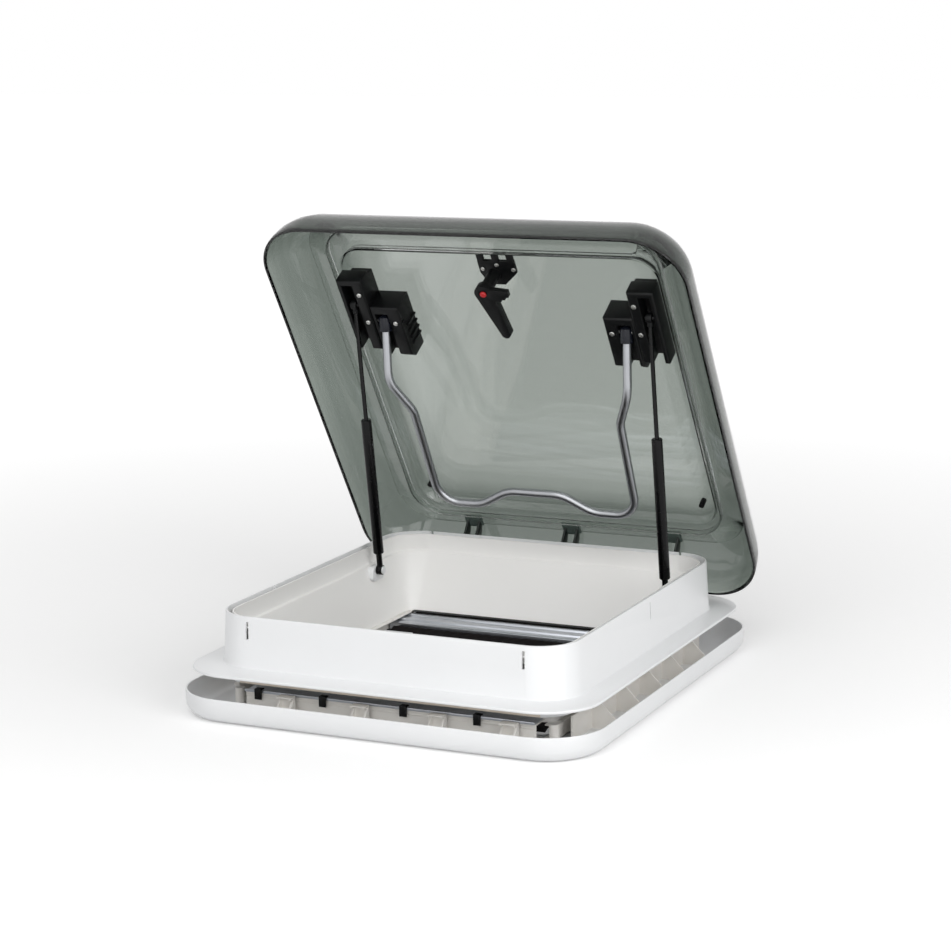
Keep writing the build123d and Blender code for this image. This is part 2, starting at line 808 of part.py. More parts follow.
def dome_sections(wall):
    # Depth, inset and corner of each section, for the outside or, with a wall, for the inside
    crown = dome_depth - wall
    sections = [(0 if wall == 0 else -cut_overrun, wall, lid_corner - wall)]
    for angle in dome_band_angles:
        depth = dome_rim_straight + (crown - dome_rim_straight) * sin(radians(angle))
        inset = dome_shoulder * (1 - cos(radians(angle))) + wall
        sections.append((depth, inset, lid_corner - dome_corner_share * inset))
    return sections


def inside_dome(depth):
    # Inset from the lid's outline and corner of the dome's inner face at a depth
    bands = dome_sections(dome_wall)
    for low, high in zip(bands, bands[1:]):
        if low[0] <= depth <= high[0]:
            share = (depth - low[0]) / (high[0] - low[0])
            return [low[place] + share * (high[place] - low[place]) for place in (1, 2)]


with BuildPart() as lid_dome:
    for depth, inset, corner in dome_sections(0):
        with BuildSketch(lid_level(depth, lid_length / 2)):
            RectangleRounded(lid_width - 2 * inset, lid_length - 2 * inset, corner)
    loft(ruled=True)
    for depth, inset, corner in dome_sections(dome_wall):
        with BuildSketch(lid_level(depth, lid_length / 2)):
            RectangleRounded(lid_width - 2 * inset, lid_length - 2 * inset, corner)
    loft(ruled=True, mode=Mode.SUBTRACT)
finish(lid_dome, "lid_dome")

# Inner pane: a flange bonded inside the dome, with a panel stepped away from the room
dome_inset, dome_corner = inside_dome(pane_depth + pane_thickness)
pane_inset = dome_inset + 2 * seat_gap
with BuildPart() as lid_pane:
    with BuildSketch(lid_level(pane_depth, lid_length / 2)):
        RectangleRounded(lid_width - 2 * pane_inset, lid_length - 2 * pane_inset, dome_corner)
    extrude(amount=pane_thickness)
    with BuildSketch(lid_level(pane_depth, panel_along)):
        RectangleRounded(
            panel_width + 2 * (panel_draft + pane_thickness),
            panel_length + 2 * (panel_draft + pane_thickness),
            panel_corner + panel_draft,
        )
    with BuildSketch(lid_level(panel_depth + pane_thickness, panel_along)):
        RectangleRounded(
            panel_width + 2 * pane_thickness, panel_length + 2 * pane_thickness, panel_corner
        )
    loft(ruled=True)
    with BuildSketch(lid_level(pane_depth - cut_overrun, panel_along)):
        RectangleRounded(
            panel_width + 2 * panel_draft, panel_length + 2 * panel_draft, panel_corner + panel_draft
        )
    with BuildSketch(lid_level(panel_depth, panel_along)):
        RectangleRounded(panel_width, panel_length, panel_corner)
    loft(ruled=True, mode=Mode.SUBTRACT)
finish(lid_pane, "lid_pane")

# Clear seal on the pane's flange, whose edge drops into the groove of the upstand when the lid shuts
seal_half_x = upstand_width / 2 - upstand_wall - groove_width / 2
seal_half_y = upstand_length / 2 - upstand_wall - groove_width / 2
seal_top_depth = rim_height - seal_reach - lid_rim_z
with BuildPart() as lid_seal:
    with BuildSketch(lid_level(seal_top_depth, -lid_front_y)):
        RectangleRounded(
            2 * seal_half_x + seal_width, 2 * seal_half_y + seal_width, upstand_corner - groove_width
        )
        RectangleRounded(
            2 * seal_half_x - seal_width,
            2 * seal_half_y - seal_width,
            upstand_corner - groove_width - seal_width,
            mode=Mode.SUBTRACT,
        )
    extrude(amount=pane_depth - seat_gap - seal_top_depth)
finish(lid_seal, "lid_seal")

# Lid hinges: two cheeks on a foot, that come down from the pane's rear flange to the pins
hinge_along = hinge_y - lid_front_y
hinge_depth = hinge_z - lid_rim_z
cheek_front = upstand_length / 2 - lid_front_y + hinge_cheek + upstand_wall
foot_top = pane_depth - seat_gap
pane_rear = lid_length - pane_inset


def cheek_limit(depth):
    # How far along the lid a cheek may reach at a depth, inside the dome's rear wall
    return lid_length - inside_dome(depth)[0] - side_gap


for name, across in (("left", -1), ("mid", 0), ("right", 1)):
    middle = across * hinge_place
    with BuildPart() as lid_hinge:
        with BuildSketch(lid_side(middle)):
            with BuildLine():
                Polyline(
                    (hinge_along - hinge_eye_radius, hinge_depth),
                    (cheek_front, foot_top),
                    (pane_rear, foot_top),
                    (cheek_limit(foot_top - hinge_eye_radius), foot_top - hinge_eye_radius),
                    (cheek_limit(foot_top / 2), foot_top / 2),
                    (hinge_along + hinge_eye_radius, hinge_depth + hinge_eye_radius),
                    (hinge_along + hinge_eye_radius, hinge_depth),
                    close=True,
                )
            make_face()
            with Locations((hinge_along, hinge_depth)):
                Circle(hinge_eye_radius)
        extrude(amount=hinge_outer_half, both=True)
        with BuildSketch(lid_side(middle)):
            rectangle_between(
                (cheek_front - hinge_foot_length, hinge_depth - 2 * hinge_eye_radius),
                (lid_length, foot_top - hinge_foot_thickness),
            )
        extrude(amount=hinge_arm_width / 2 + hinge_cheek_gap, both=True, mode=Mode.SUBTRACT)
        with BuildSketch(lid_side(middle)):
            rectangle_between(
                (cheek_front - hinge_cheek - upstand_wall, foot_top - hinge_foot_thickness),
                (pane_rear, foot_top),
            )
        extrude(amount=hinge_outer_half + hinge_cheek, both=True)
        with BuildSketch(lid_side(middle)):
            with Locations((hinge_along, hinge_depth)):
                Circle(hinge_pin_radius + running_gap)
        extrude(amount=hinge_outer_half + cut_overrun, both=True, mode=Mode.SUBTRACT)
    finish(lid_hinge, "lid_hinge_" + name)

# Strut blocks: open channels that the upper ends of the gas struts lie in
panel_half_x = panel_width / 2
panel_seat = panel_depth - seat_gap
for name, across in (("left", -1), ("right", 1)):
    with BuildPart() as strut_block:
        block_front = strut_pivot_along - strut_block_front
        block_rear = strut_pivot_along + strut_block_rear
        with BuildSketch(lid_side(across * (strut_place - strut_block_inner))):
            with BuildLine():
                Polyline(
                    (block_front, strut_block_face),
                    (block_rear, strut_block_face),
                    (block_rear, foot_top),
                    (block_front, foot_top),
                    close=True,
                )
            make_face()
        extrude(amount=across * (strut_block_inner + strut_block_outer))
        chamfer(
            strut_block.faces().sort_by(lid_axis)[0].edges(),
            block_chamfer,
        )
        with BuildSketch(lid_side(across * (strut_place - strut_block_inner))):
            rectangle_between(
                (block_front + strut_foot_inset, foot_top), (block_rear - strut_foot_inset, panel_seat)
            )
        extrude(amount=across * (panel_half_x - strut_place + strut_block_inner - side_gap - block_chamfer))
        with BuildSketch(lid_side(across * (strut_place - strut_channel_half))):
            rectangle_between(
                (strut_pivot_along - strut_channel_front, strut_block_face - cut_overrun),
                (block_rear + cut_overrun, strut_channel_floor),
            )
        extrude(amount=across * 2 * strut_channel_half, mode=Mode.SUBTRACT)
    finish(strut_block, "strut_block_" + name)

# Bow blocks: an open channel for each bow end, with ribs down the inner cheek
for name, across in (("left", -1), ("right", 1)):
    with BuildPart() as bow_block:
        block_front = bow_pivot_along - bow_block_front
        block_rear = bow_pivot_along + bow_block_rear
        inner_x = bow_place - bow_block_inner
        outer_x = strut_place - strut_block_inner - seat_gap
        with BuildSketch(lid_side(across * inner_x)):
            with BuildLine():
                Polyline(
                    (block_front, bow_block_face),
                    (block_rear - bow_channel_half, bow_block_face),
                    (block_rear, bow_block_face + bow_channel_half),
                    (block_rear, panel_seat),
                    (block_front, panel_seat),
                    close=True,
                )
            make_face()
        extrude(amount=across * (outer_x - inner_x))
        chamfer(
            bow_block.faces().sort_by(lid_axis)[0].edges(),
            block_chamfer,
        )
        with BuildSketch(lid_side(across * (bow_place - bow_channel_half))):
            rectangle_between(
                (bow_pivot_along - bow_cap_length, bow_block_face - cut_overrun),
                (block_rear + cut_overrun, bow_channel_floor),
            )
        extrude(amount=across * 2 * bow_channel_half, mode=Mode.SUBTRACT)
        for number in range(block_rib_count):
            rib_along = bow_pivot_along + bow_channel_half + number * block_rib_pitch
            with BuildSketch(lid_side(across * (inner_x + seat_gap))):
                rectangle_between(
                    (rib_along, bow_block_face + block_rib_pitch), (rib_along + block_rib_width, panel_seat)
                )
            extrude(amount=-across * (block_rib_height + seat_gap))
        with BuildSketch(lid_side(across * inner_x)):
            with Locations((bow_pivot_along, bow_pivot_depth)):
                Circle(bow_pin_radius + running_gap)
        pin_end = bow_place + bow_channel_half + bow_pin_reach + side_gap
        extrude(amount=across * (pin_end - inner_x), mode=Mode.SUBTRACT)
    finish(bow_block, "bow_block_" + name)

# White metal screws on the faces of the blocks
strut_screw_x = strut_place - (strut_block_inner + strut_channel_half) / 2
bow_screw_x = bow_place - (bow_block_inner + bow_channel_half) / 2
with BuildPart() as block_screws:
    for across in (-1, 1):
        for middle, along, face in (
            (strut_screw_x, strut_pivot_along - strut_block_front / 2, strut_block_face),
            (strut_screw_x, strut_pivot_along + strut_block_rear / 3, strut_block_face),
            (bow_screw_x, bow_pivot_along, bow_block_face),
        ):
            with BuildSketch(lid_level(face - seat_gap, along, across * middle)):
                Circle(block_screw_radius)
            extrude(amount=-block_screw_height)
finish(block_screws, "block_screws")

# Two pegs on the pane near its rear corners
peg_along = panel_along + panel_length / 2 - peg_from_rear
with BuildPart() as pane_pegs:
    for across in (-1, 1):
        with BuildSketch(lid_level(panel_seat, peg_along, across * (panel_half_x - peg_from_side))):
            Circle(peg_radius)
        extrude(amount=-peg_length)
finish(pane_pegs, "pane_pegs")

# Bow: one aluminium tube that hangs from its two pivots, with a wavy cross-bar
bow_down = Vector(
    0,
    cos(swing) * cos(radians(bow_swing_angle)) - sin(swing) * sin(radians(bow_swing_angle)),
    -sin(swing) * cos(radians(bow_swing_angle)) - cos(swing) * sin(radians(bow_swing_angle)),
)
bow_room = Vector(0, bow_down.Z, -bow_down.Y)
bow_pivot = lid_point(0, bow_pivot_along, bow_pivot_depth)


def bow_point(shares, side):
    across, down, room = shares
    return (
        bow_pivot
        + Vector(side * across * bow_place, 0, 0)
        + bow_down * down * bow_drop
        + bow_room * room * bow_bulge
    )


def toward(start, end, distance):
    return start + (end - start).normalized() * distance


bend_radii = [bow_knee_radius, bow_elbow_radius, bow_corner_radius, bow_dip_radius, bow_rise_radius]
bow_end_share = (1, 0, 0)
left_end = bow_point(bow_end_share, -1)
left_knee = bow_point(bow_bend_shares[0], -1)
right_end = bow_point(bow_end_share, 1)
right_knee = bow_point(bow_bend_shares[0], 1)
bow_tube_start = bow_cap_length / 3
bow_points = [toward(left_end, left_knee, bow_tube_start)]
bow_points += [bow_point(bend, -1) for bend in bow_bend_shares]
bow_points += [bow_point(bend, 1) for bend in reversed(bow_bend_shares)]
bow_points += [toward(right_end, right_knee, bow_tube_start)]
with BuildPart() as bow_tube:
    with BuildLine() as bow_path:
        FilletPolyline(*bow_points, radius=bend_radii + bend_radii[::-1])
    with BuildSketch(Plane(origin=bow_points[0], z_dir=bow_points[1] - bow_points[0])):
        Circle(bow_radius)
    sweep(path=bow_path.line)
finish(bow_tube, "bow_tube")

# Chamfered caps on the bow's ends, and the pins that they turn on
for name, side, end, knee in (("left", -1, left_end, left_knee), ("right", 1, right_end, right_knee)):
    axis_dir = (knee - end).normalized()
    section_normal = Vector(1, 0, 0).cross(axis_dir)
    section = Plane(origin=end, x_dir=axis_dir.cross(section_normal), z_dir=section_normal)
    with BuildPart() as bow_cap:
        with BuildSketch(section):
            with BuildLine():
                Polyline(
                    (0, -bow_cap_radius),
                    (bow_cap_radius - bow_cap_chamfer, -bow_cap_radius),
                    (bow_cap_radius, bow_cap_chamfer - bow_cap_radius),
                    (bow_cap_radius, bow_cap_length),
                    (0, bow_cap_length),
                    close=True,
                )
            make_face()
        revolve(axis=Axis(end, axis_dir))
        with BuildSketch(Plane(origin=toward(end, knee, bow_tube_start - seat_gap), z_dir=axis_dir)):
            Circle(bow_radius + seat_gap)
        extrude(amount=bow_cap_length, mode=Mode.SUBTRACT)
        with BuildSketch(Plane.YZ.offset(side * bow_place - bow_cap_radius - cut_overrun)):
            with Locations((end.Y, end.Z)):
                Circle(bow_pin_radius + seat_gap)
        extrude(amount=2 * (bow_cap_radius + cut_overrun), mode=Mode.SUBTRACT)
    finish(bow_cap, "bow_cap_" + name)

with BuildPart() as bow_pins:
    for side in (-1, 1):
        with BuildSketch(Plane.YZ.offset(side * bow_place)):
            with Locations((bow_pivot.Y, bow_pivot.Z)):
                Circle(bow_pin_radius)
        extrude(amount=bow_channel_half + bow_pin_reach, both=True)
finish(bow_pins, "bow_pins")

# Latch base: a plate with three prongs over the panel's front edge, and the lever's post
plate_face = panel_seat - latch_plate_thickness
post_top = lever_depth + seat_gap
with BuildPart() as latch_base:
    with BuildSketch(lid_level(plate_face)):
        with BuildLine():
            Polyline(
                (-latch_plate_half, latch_plate_front),
                (latch_plate_half, latch_plate_front),
                (latch_plate_half, latch_plate_front + latch_plate_length / 2),
                (latch_across + latch_plate_neck, latch_plate_front + latch_plate_length),
                (latch_across - latch_plate_neck, latch_plate_front + latch_plate_length),
                (-latch_plate_half, latch_plate_front + latch_plate_length / 2),
                close=True,
            )
        make_face()
        prong_middle = latch_plate_front - latch_prong_length / 2 + cut_overrun
        with Locations(*[(place * latch_prong_place, prong_middle) for place in (-1, 0, 1)]):
            Rectangle(latch_prong_width, latch_prong_length)
    extrude(amount=latch_plate_thickness)
    with BuildSketch(lid_level(post_top)):
        with Locations((latch_across, latch_along)):
            Circle(latch_post_radius)
    extrude(amount=plate_face - post_top + cut_overrun)
    with BuildSketch(lid_level(post_top)):
        with Locations((latch_across, latch_along)):
            Circle(latch_pin_radius)
    extrude(amount=-latch_pin_length)
finish(latch_base, "latch_base")

with BuildPart() as latch_screws:
    for across_share, along_share in latch_screw_shares:
        along = latch_plate_front + along_share * latch_plate_length
        with BuildSketch(lid_level(plate_face - seat_gap, along, across_share * latch_plate_half)):
            Circle(latch_screw_radius)
        extrude(amount=-latch_screw_height)
finish(latch_screws, "latch_screws")

# Latch lever: a round head, a tapered handle and a stepped nose, with a pocket for the button
lever_face = lever_depth - lever_thickness
lever_plane = lid_level(lever_face, latch_along, latch_across)
lean_x = sin(radians(lever_lean_angle))
lean_y = cos(radians(lever_lean_angle))
tip_x = lever_length * lean_x
tip_y = lever_length * lean_y
with BuildPart() as latch_lever:
    with BuildSketch(lever_plane):
        Circle(lever_head_radius)
        with Locations((tip_x, tip_y)):
            Circle(lever_tip_radius)
        with BuildLine():
            Polyline(
                (-lever_head_radius * lean_y, lever_head_radius * lean_x),
                (lever_head_radius * lean_y, -lever_head_radius * lean_x),
                (tip_x + lever_tip_radius * lean_y, tip_y - lever_tip_radius * lean_x),
                (tip_x - lever_tip_radius * lean_y, tip_y + lever_tip_radius * lean_x),
                close=True,
            )
        make_face()
    extrude(amount=lever_thickness)
    with BuildSketch(lever_plane):
        with BuildLine():
            Polyline(
                (0, -nose_width),
                (nose_reach, -nose_width / 2),
                (nose_reach, nose_width / 2),
                (nose_reach - nose_step, nose_width / 2),
                (nose_reach - nose_step, nose_width),
                (nose_reach - 2 * nose_step, nose_width),
                (nose_reach - 2 * nose_step, nose_width + nose_step / 2),
                (0, nose_width + nose_step / 2),
                close=True,
            )
        make_face()
    extrude(amount=nose_thickness)
    with BuildSketch(lever_plane):
        Circle(button_radius + seat_gap)
    extrude(amount=button_height - button_proud + button_travel + seat_gap, mode=Mode.SUBTRACT)
    with BuildSketch(lever_plane):
        Circle(latch_pin_radius + running_gap)
    extrude(amount=lever_thickness, mode=Mode.SUBTRACT)
finish(latch_lever, "latch_lever")

# Red release button in the middle of the lever's head
with BuildPart() as latch_button:
    with BuildSketch(lid_level(lever_face - button_proud, latch_along, latch_across)):
        Circle(button_radius)
    extrude(amount=button_height)
    chamfer(latch_button.faces().sort_by(lid_axis)[0].edges(), button_proud / 2)
finish(latch_button, "latch_button")

# Latch striker inside the upstand's front wall: a tongue that the turned nose goes under
nose_top_z = lid_rim_z + lever_face + nose_thickness
tongue_z = nose_top_z + striker_gap
with BuildPart() as latch_striker:
    back_y = -lip_half_y + seat_gap
    with BuildSketch(Plane.YZ.offset(latch_across)):
        rectangle_between((back_y, tongue_z), (back_y + striker_reach, tongue_z + striker_tongue))
    extrude(amount=striker_width / 2, both=True)
    with BuildSketch(Plane.YZ.offset(latch_across)):
        rectangle_between((back_y, ledge_top + side_gap), (back_y + striker_plate, tongue_z + striker_tongue))
    extrude(amount=striker_width / 2, both=True)
    for side in (-1, 1):
        with BuildSketch(Plane.YZ.offset(latch_across + side * (striker_width - striker_rib) / 2)):
            with BuildLine():
                Polyline(
                    (back_y, tongue_z),
                    (back_y + striker_reach / 2, tongue_z),
                    (back_y, ledge_top + side_gap),
                    close=True,
                )
            make_face()
        extrude(amount=striker_rib / 2, both=True)
finish(latch_striker, "latch_striker")

# Gas struts: each a tube on a stud in the frame's side, and a rod whose end lies in the lid's block
strut_top = lid_point(0, strut_pivot_along, strut_pivot_depth)
strut_run = Vector(0, strut_top.Y - strut_foot_along, strut_top.Z - strut_foot_height)
strut_length = strut_run.length
strut_dir = strut_run.normalized()
tube_end = strut_tube_start + strut_tube_length
for name, across in (("left", -1), ("right", 1)):
    foot = Vector(across * strut_place, strut_foot_along, strut_foot_height)
    strut_axis = Axis(foot, strut_dir)
    section = Plane(origin=foot, x_dir=(1, 0, 0), z_dir=Vector(1, 0, 0).cross(strut_dir))
    with BuildPart() as strut_cylinder:
        bore = strut_tube_radius - strut_tube_wall
        with BuildSketch(section):
            with BuildLine():
                Polyline(
                    (0, strut_eye_radius / 2),
                    (strut_neck_radius, strut_eye_radius / 2),
                    (strut_neck_radius, strut_tube_start - strut_tube_wall),
                    (strut_tube_radius - strut_tube_wall, strut_tube_start - strut_tube_wall),
                    (strut_tube_radius, strut_tube_start),
                    (strut_tube_radius, tube_end - strut_tube_wall),
                    (strut_tube_radius - strut_tube_wall, tube_end),
                    (strut_rod_radius + running_gap, tube_end),
                    (strut_rod_radius + running_gap, tube_end - strut_gland_length),
                    (bore, tube_end - strut_gland_length),
                    (bore, strut_tube_start + strut_gland_length),
                    (0, strut_tube_start + strut_gland_length),
                    close=True,
                )
            make_face()
        revolve(axis=strut_axis)
        with BuildSketch(Plane.YZ.offset(foot.X)):
            with Locations((foot.Y, foot.Z)):
                Circle(strut_eye_radius)
        extrude(amount=strut_eye_width / 2, both=True)
        with BuildSketch(Plane.YZ.offset(foot.X)):
            with Locations((foot.Y, foot.Z)):
                Circle(strut_stud_radius + running_gap)
        extrude(amount=strut_eye_width, both=True, mode=Mode.SUBTRACT)
    finish(strut_cylinder, "strut_cylinder_" + name)
    piston_start = tube_end - strut_piston_inset - strut_piston_length
    with BuildPart() as strut_rod:
        with BuildSketch(section):
            with BuildLine():
                Polyline(
                    (0, piston_start),
                    (bore - strut_piston_gap, piston_start),
                    (bore - strut_piston_gap, piston_start + strut_piston_length),
                    (strut_rod_radius, piston_start + strut_piston_length),
                    (strut_rod_radius, strut_length - strut_end_neck),
                    (0, strut_length - strut_end_neck),
                    close=True,
                )
            make_face()
        revolve(axis=strut_axis)
    finish(strut_rod, "strut_rod_" + name)
    top = foot + strut_run
    with BuildPart() as strut_end:
        neck_start = foot + strut_dir * (strut_length - strut_end_neck + seat_gap)
        with BuildSketch(Plane(origin=neck_start, z_dir=strut_dir)):
            Circle(strut_neck_radius)
        extrude(amount=strut_end_neck - seat_gap)
        with BuildSketch(Plane.YZ.offset(top.X)):
            with Locations((top.Y, top.Z)):
                Circle(strut_eye_radius)
        extrude(amount=strut_eye_width / 2, both=True)
        with BuildSketch(Plane.YZ.offset(top.X)):
            with Locations((top.Y, top.Z)):
                Circle(strut_rod_radius)
        extrude(amount=strut_end_pin / 2, both=True)
    finish(strut_end, "strut_end_" + name)

# Strut feet on the lining's sides: a pad that follows the slope, with the stud for the strut's eye
pad_low = strut_foot_height - foot_pad_height / 2
pad_high = min(strut_foot_height + foot_pad_height / 2, ledge_bottom)
pad_face = strut_place + strut_eye_width / 2 + foot_pad_gap
for name, across in (("left", -1), ("right", 1)):
    with BuildPart() as strut_foot:
        with BuildSketch(Plane.XZ.offset(-strut_foot_along - foot_pad_rear)):
            with BuildLine():
                Polyline(
                    (across * pad_face, pad_low),
                    (across * (lining_half(pad_low) - seat_gap), pad_low),
                    (across * (lining_half(pad_high) - seat_gap), pad_high),
                    (across * pad_face, pad_high),
                    close=True,
                )
            make_face()
        extrude(amount=foot_pad_front + foot_pad_rear)
        pad_edges = strut_foot.edges().filter_by(lambda edge: abs(edge.tangent_at(0.5).Y) < 0.5)
        pad_edges = pad_edges.filter_by(lambda edge: abs(edge.tangent_at(0.5).Z) < 0.5)
        fillet(pad_edges, foot_pad_corner)
        with BuildSketch(Plane.YZ.offset(across * (pad_face + seat_gap))):
            with Locations((strut_foot_along, strut_foot_height)):
                Circle(strut_stud_radius)
        extrude(amount=-across * (strut_eye_width + foot_pad_gap + 2 * seat_gap))
        with BuildSketch(Plane.YZ.offset(across * (strut_place - strut_eye_width / 2 - seat_gap))):
            with Locations((strut_foot_along, strut_foot_height)):
                Circle(strut_stud_head)
        extrude(amount=-across * strut_stud_head_length)
    finish(strut_foot, "strut_foot_" + name)

with BuildPart() as foot_screws:
    for across in (-1, 1):
        with BuildSketch(Plane.YZ.offset(across * (pad_face - seat_gap))):
            with Locations((strut_foot_along + foot_screw_offset, strut_foot_height)):
                Circle(block_screw_radius)
        extrude(amount=-across * block_screw_height)
finish(foot_screws, "foot_screws")

# Figures for the record
closed_dy = strut_pivot_along + lid_front_y - strut_foot_along
closed_dz = strut_pivot_depth + lid_rim_z - strut_foot_height
closed_length = hypot(closed_dy, closed_dz)
open_angle = degrees(atan2(strut_run.Z, strut_run.Y))
closed_angle = degrees(atan2(closed_dz, closed_dy))
print("hinge axis y z", round(hinge_y, 3), round(hinge_z, 3))
print("strut length open and closed", round(strut_length, 3), round(closed_length, 3))
print("strut angle open and closed", round(open_angle, 3), round(closed_angle, 3))
print("strut direction", round(strut_dir.Y, 5), round(strut_dir.Z, 5))
print("bow pivot", round(bow_pivot.Y, 3), round(bow_pivot.Z, 3))
print("lever pivot", [round(value, 3) for value in lid_point(latch_across, latch_along, lever_depth)])
print("screw places", screw_places)
print("bars rear faces", blind_bar_rear, screen_bar_rear, "front cassette at", -cassette_near)
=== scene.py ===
import json
import math
import bmesh
import bpy
from mathutils import Matrix, Vector


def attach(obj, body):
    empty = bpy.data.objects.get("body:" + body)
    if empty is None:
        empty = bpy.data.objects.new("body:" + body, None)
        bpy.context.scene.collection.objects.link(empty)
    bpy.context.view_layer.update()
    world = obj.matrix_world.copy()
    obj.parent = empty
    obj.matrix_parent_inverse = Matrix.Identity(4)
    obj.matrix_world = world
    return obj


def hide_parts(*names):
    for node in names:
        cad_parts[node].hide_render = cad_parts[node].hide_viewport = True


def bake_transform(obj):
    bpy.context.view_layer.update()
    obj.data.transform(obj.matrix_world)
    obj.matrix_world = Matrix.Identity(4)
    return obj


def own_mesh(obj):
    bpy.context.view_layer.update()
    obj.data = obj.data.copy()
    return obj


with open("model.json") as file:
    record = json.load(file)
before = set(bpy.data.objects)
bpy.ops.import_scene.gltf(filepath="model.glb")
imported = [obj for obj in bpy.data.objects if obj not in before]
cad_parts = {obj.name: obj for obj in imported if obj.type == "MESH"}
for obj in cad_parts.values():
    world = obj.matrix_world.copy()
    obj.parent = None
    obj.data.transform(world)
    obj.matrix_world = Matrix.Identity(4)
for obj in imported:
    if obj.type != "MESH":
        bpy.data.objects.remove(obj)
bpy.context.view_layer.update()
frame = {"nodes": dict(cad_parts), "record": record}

mm = 0.001
mergeDistance = 0.00002                            # points nearer than this become one, in metres
flatAngle = 1                                      # a CAD node's faces that turn less than this become one
sharpAngle = 35                                    # edges that turn more than this are sharp
print("caravan roof vent: frame loaded,", len(frame["nodes"]), "nodes")

# Working helpers


def pick(*objs):                                   # only these are selected, the first is active
    if bpy.context.object and bpy.context.object.mode == "EDIT":
        bpy.ops.object.mode_set(mode="OBJECT")
    bpy.ops.object.select_all(action="DESELECT")
    for obj in objs:
        obj.select_set(True)
    bpy.context.view_layer.objects.active = objs[0] if objs else None


def openMesh(obj):                                 # edit mode on one object
    pick(obj)
    bpy.ops.object.mode_set(mode="EDIT")


def closeMesh():
    bpy.ops.object.mode_set(mode="OBJECT")


def choose(kind, test):                            # selects what passes a test, in edit mode
    bpy.ops.mesh.select_mode(type=kind)
    bpy.ops.mesh.select_all(action="DESELECT")
    mesh = bpy.context.object.data
    bm = bmesh.from_edit_mesh(mesh)
    for item in {"VERT": bm.verts, "EDGE": bm.edges, "FACE": bm.faces}[kind]:
        if test(item):
            item.select_set(True)
    bm.select_flush_mode()
    bmesh.update_edit_mesh(mesh)


def tidyMesh():                                    # merge, then face everything outwards
    bpy.ops.mesh.select_all(action="SELECT")
    bpy.ops.mesh.remove_doubles(threshold=mergeDistance)
    bpy.ops.mesh.normals_make_consistent(inside=False)
    closeMesh()


def place(obj, matrix):                            # the place goes into the mesh
    obj.matrix_world = matrix
    pick(obj)
    bpy.ops.object.transform_apply(location=True, rotation=True, scale=True)


def applyAll(obj):
    pick(obj)
    for modifier in list(obj.modifiers):
        bpy.ops.object.modifier_apply(modifier=modifier.name)


def softEdges(obj, width):                         # a small bevel on the sharp edges, its width in mm
    bevel = obj.modifiers.new("softEdges", "BEVEL")
    bevel.width = width * mm
    bevel.segments = 2
    bevel.limit_method = "ANGLE"
    bevel.angle_limit = math.radians(sharpAngle)
    applyAll(obj)


def smooth(obj, angle=sharpAngle):
    pick(obj)
    bpy.ops.object.shade_smooth_by_angle(angle=math.radians(angle))


def cutAway(obj, cutter):                          # the cutter is used up
    cut = obj.modifiers.new("cut", "BOOLEAN")
    cut.object = cutter
    cut.operation = "DIFFERENCE"
    cut.solver = "EXACT"
    applyAll(obj)
    bpy.data.objects.remove(cutter)


def sliceOff(obj, point, normal):                  # removes what lies beyond a plane, in mm
    openMesh(obj)
    bpy.ops.mesh.select_all(action="SELECT")
    bpy.ops.mesh.bisect(plane_co=Vector(point) * mm, plane_no=normal, use_fill=True, clear_outer=True)
    tidyMesh()


def block(name, low, high):                        # a box between two corners, in mm
    pick()
    bpy.ops.mesh.primitive_cube_add(size=1)
    obj = bpy.context.object
    obj.name = name
    reach = [abs(b - a) * mm for a, b in zip(low, high)]
    place(obj, Matrix.Translation((Vector(low) + Vector(high)) * (mm / 2)) @ Matrix.Diagonal((*reach, 1)))
    return obj


def rod(name, start, end, radius, sides=32):       # a cylinder from one point to another, in mm
    pick()
    start, end = Vector(start) * mm, Vector(end) * mm
    run = end - start
    bpy.ops.mesh.primitive_cylinder_add(vertices=sides, radius=radius * mm, depth=run.length)
    obj = bpy.context.object
    obj.name = name
    place(obj, Matrix.Translation((start + end) / 2) @ run.to_track_quat("Z", "X").to_matrix().to_4x4())
    return obj


def joined(name, *objs):
    pick(*objs)
    bpy.ops.object.join()
    objs[0].name = name
    return objs[0]


def copyOf(obj, matrix):                           # a copy with its own mesh
    twin = obj.copy()
    twin.data = obj.data.copy()
    bpy.context.scene.collection.objects.link(twin)
    place(twin, matrix)
    return twin


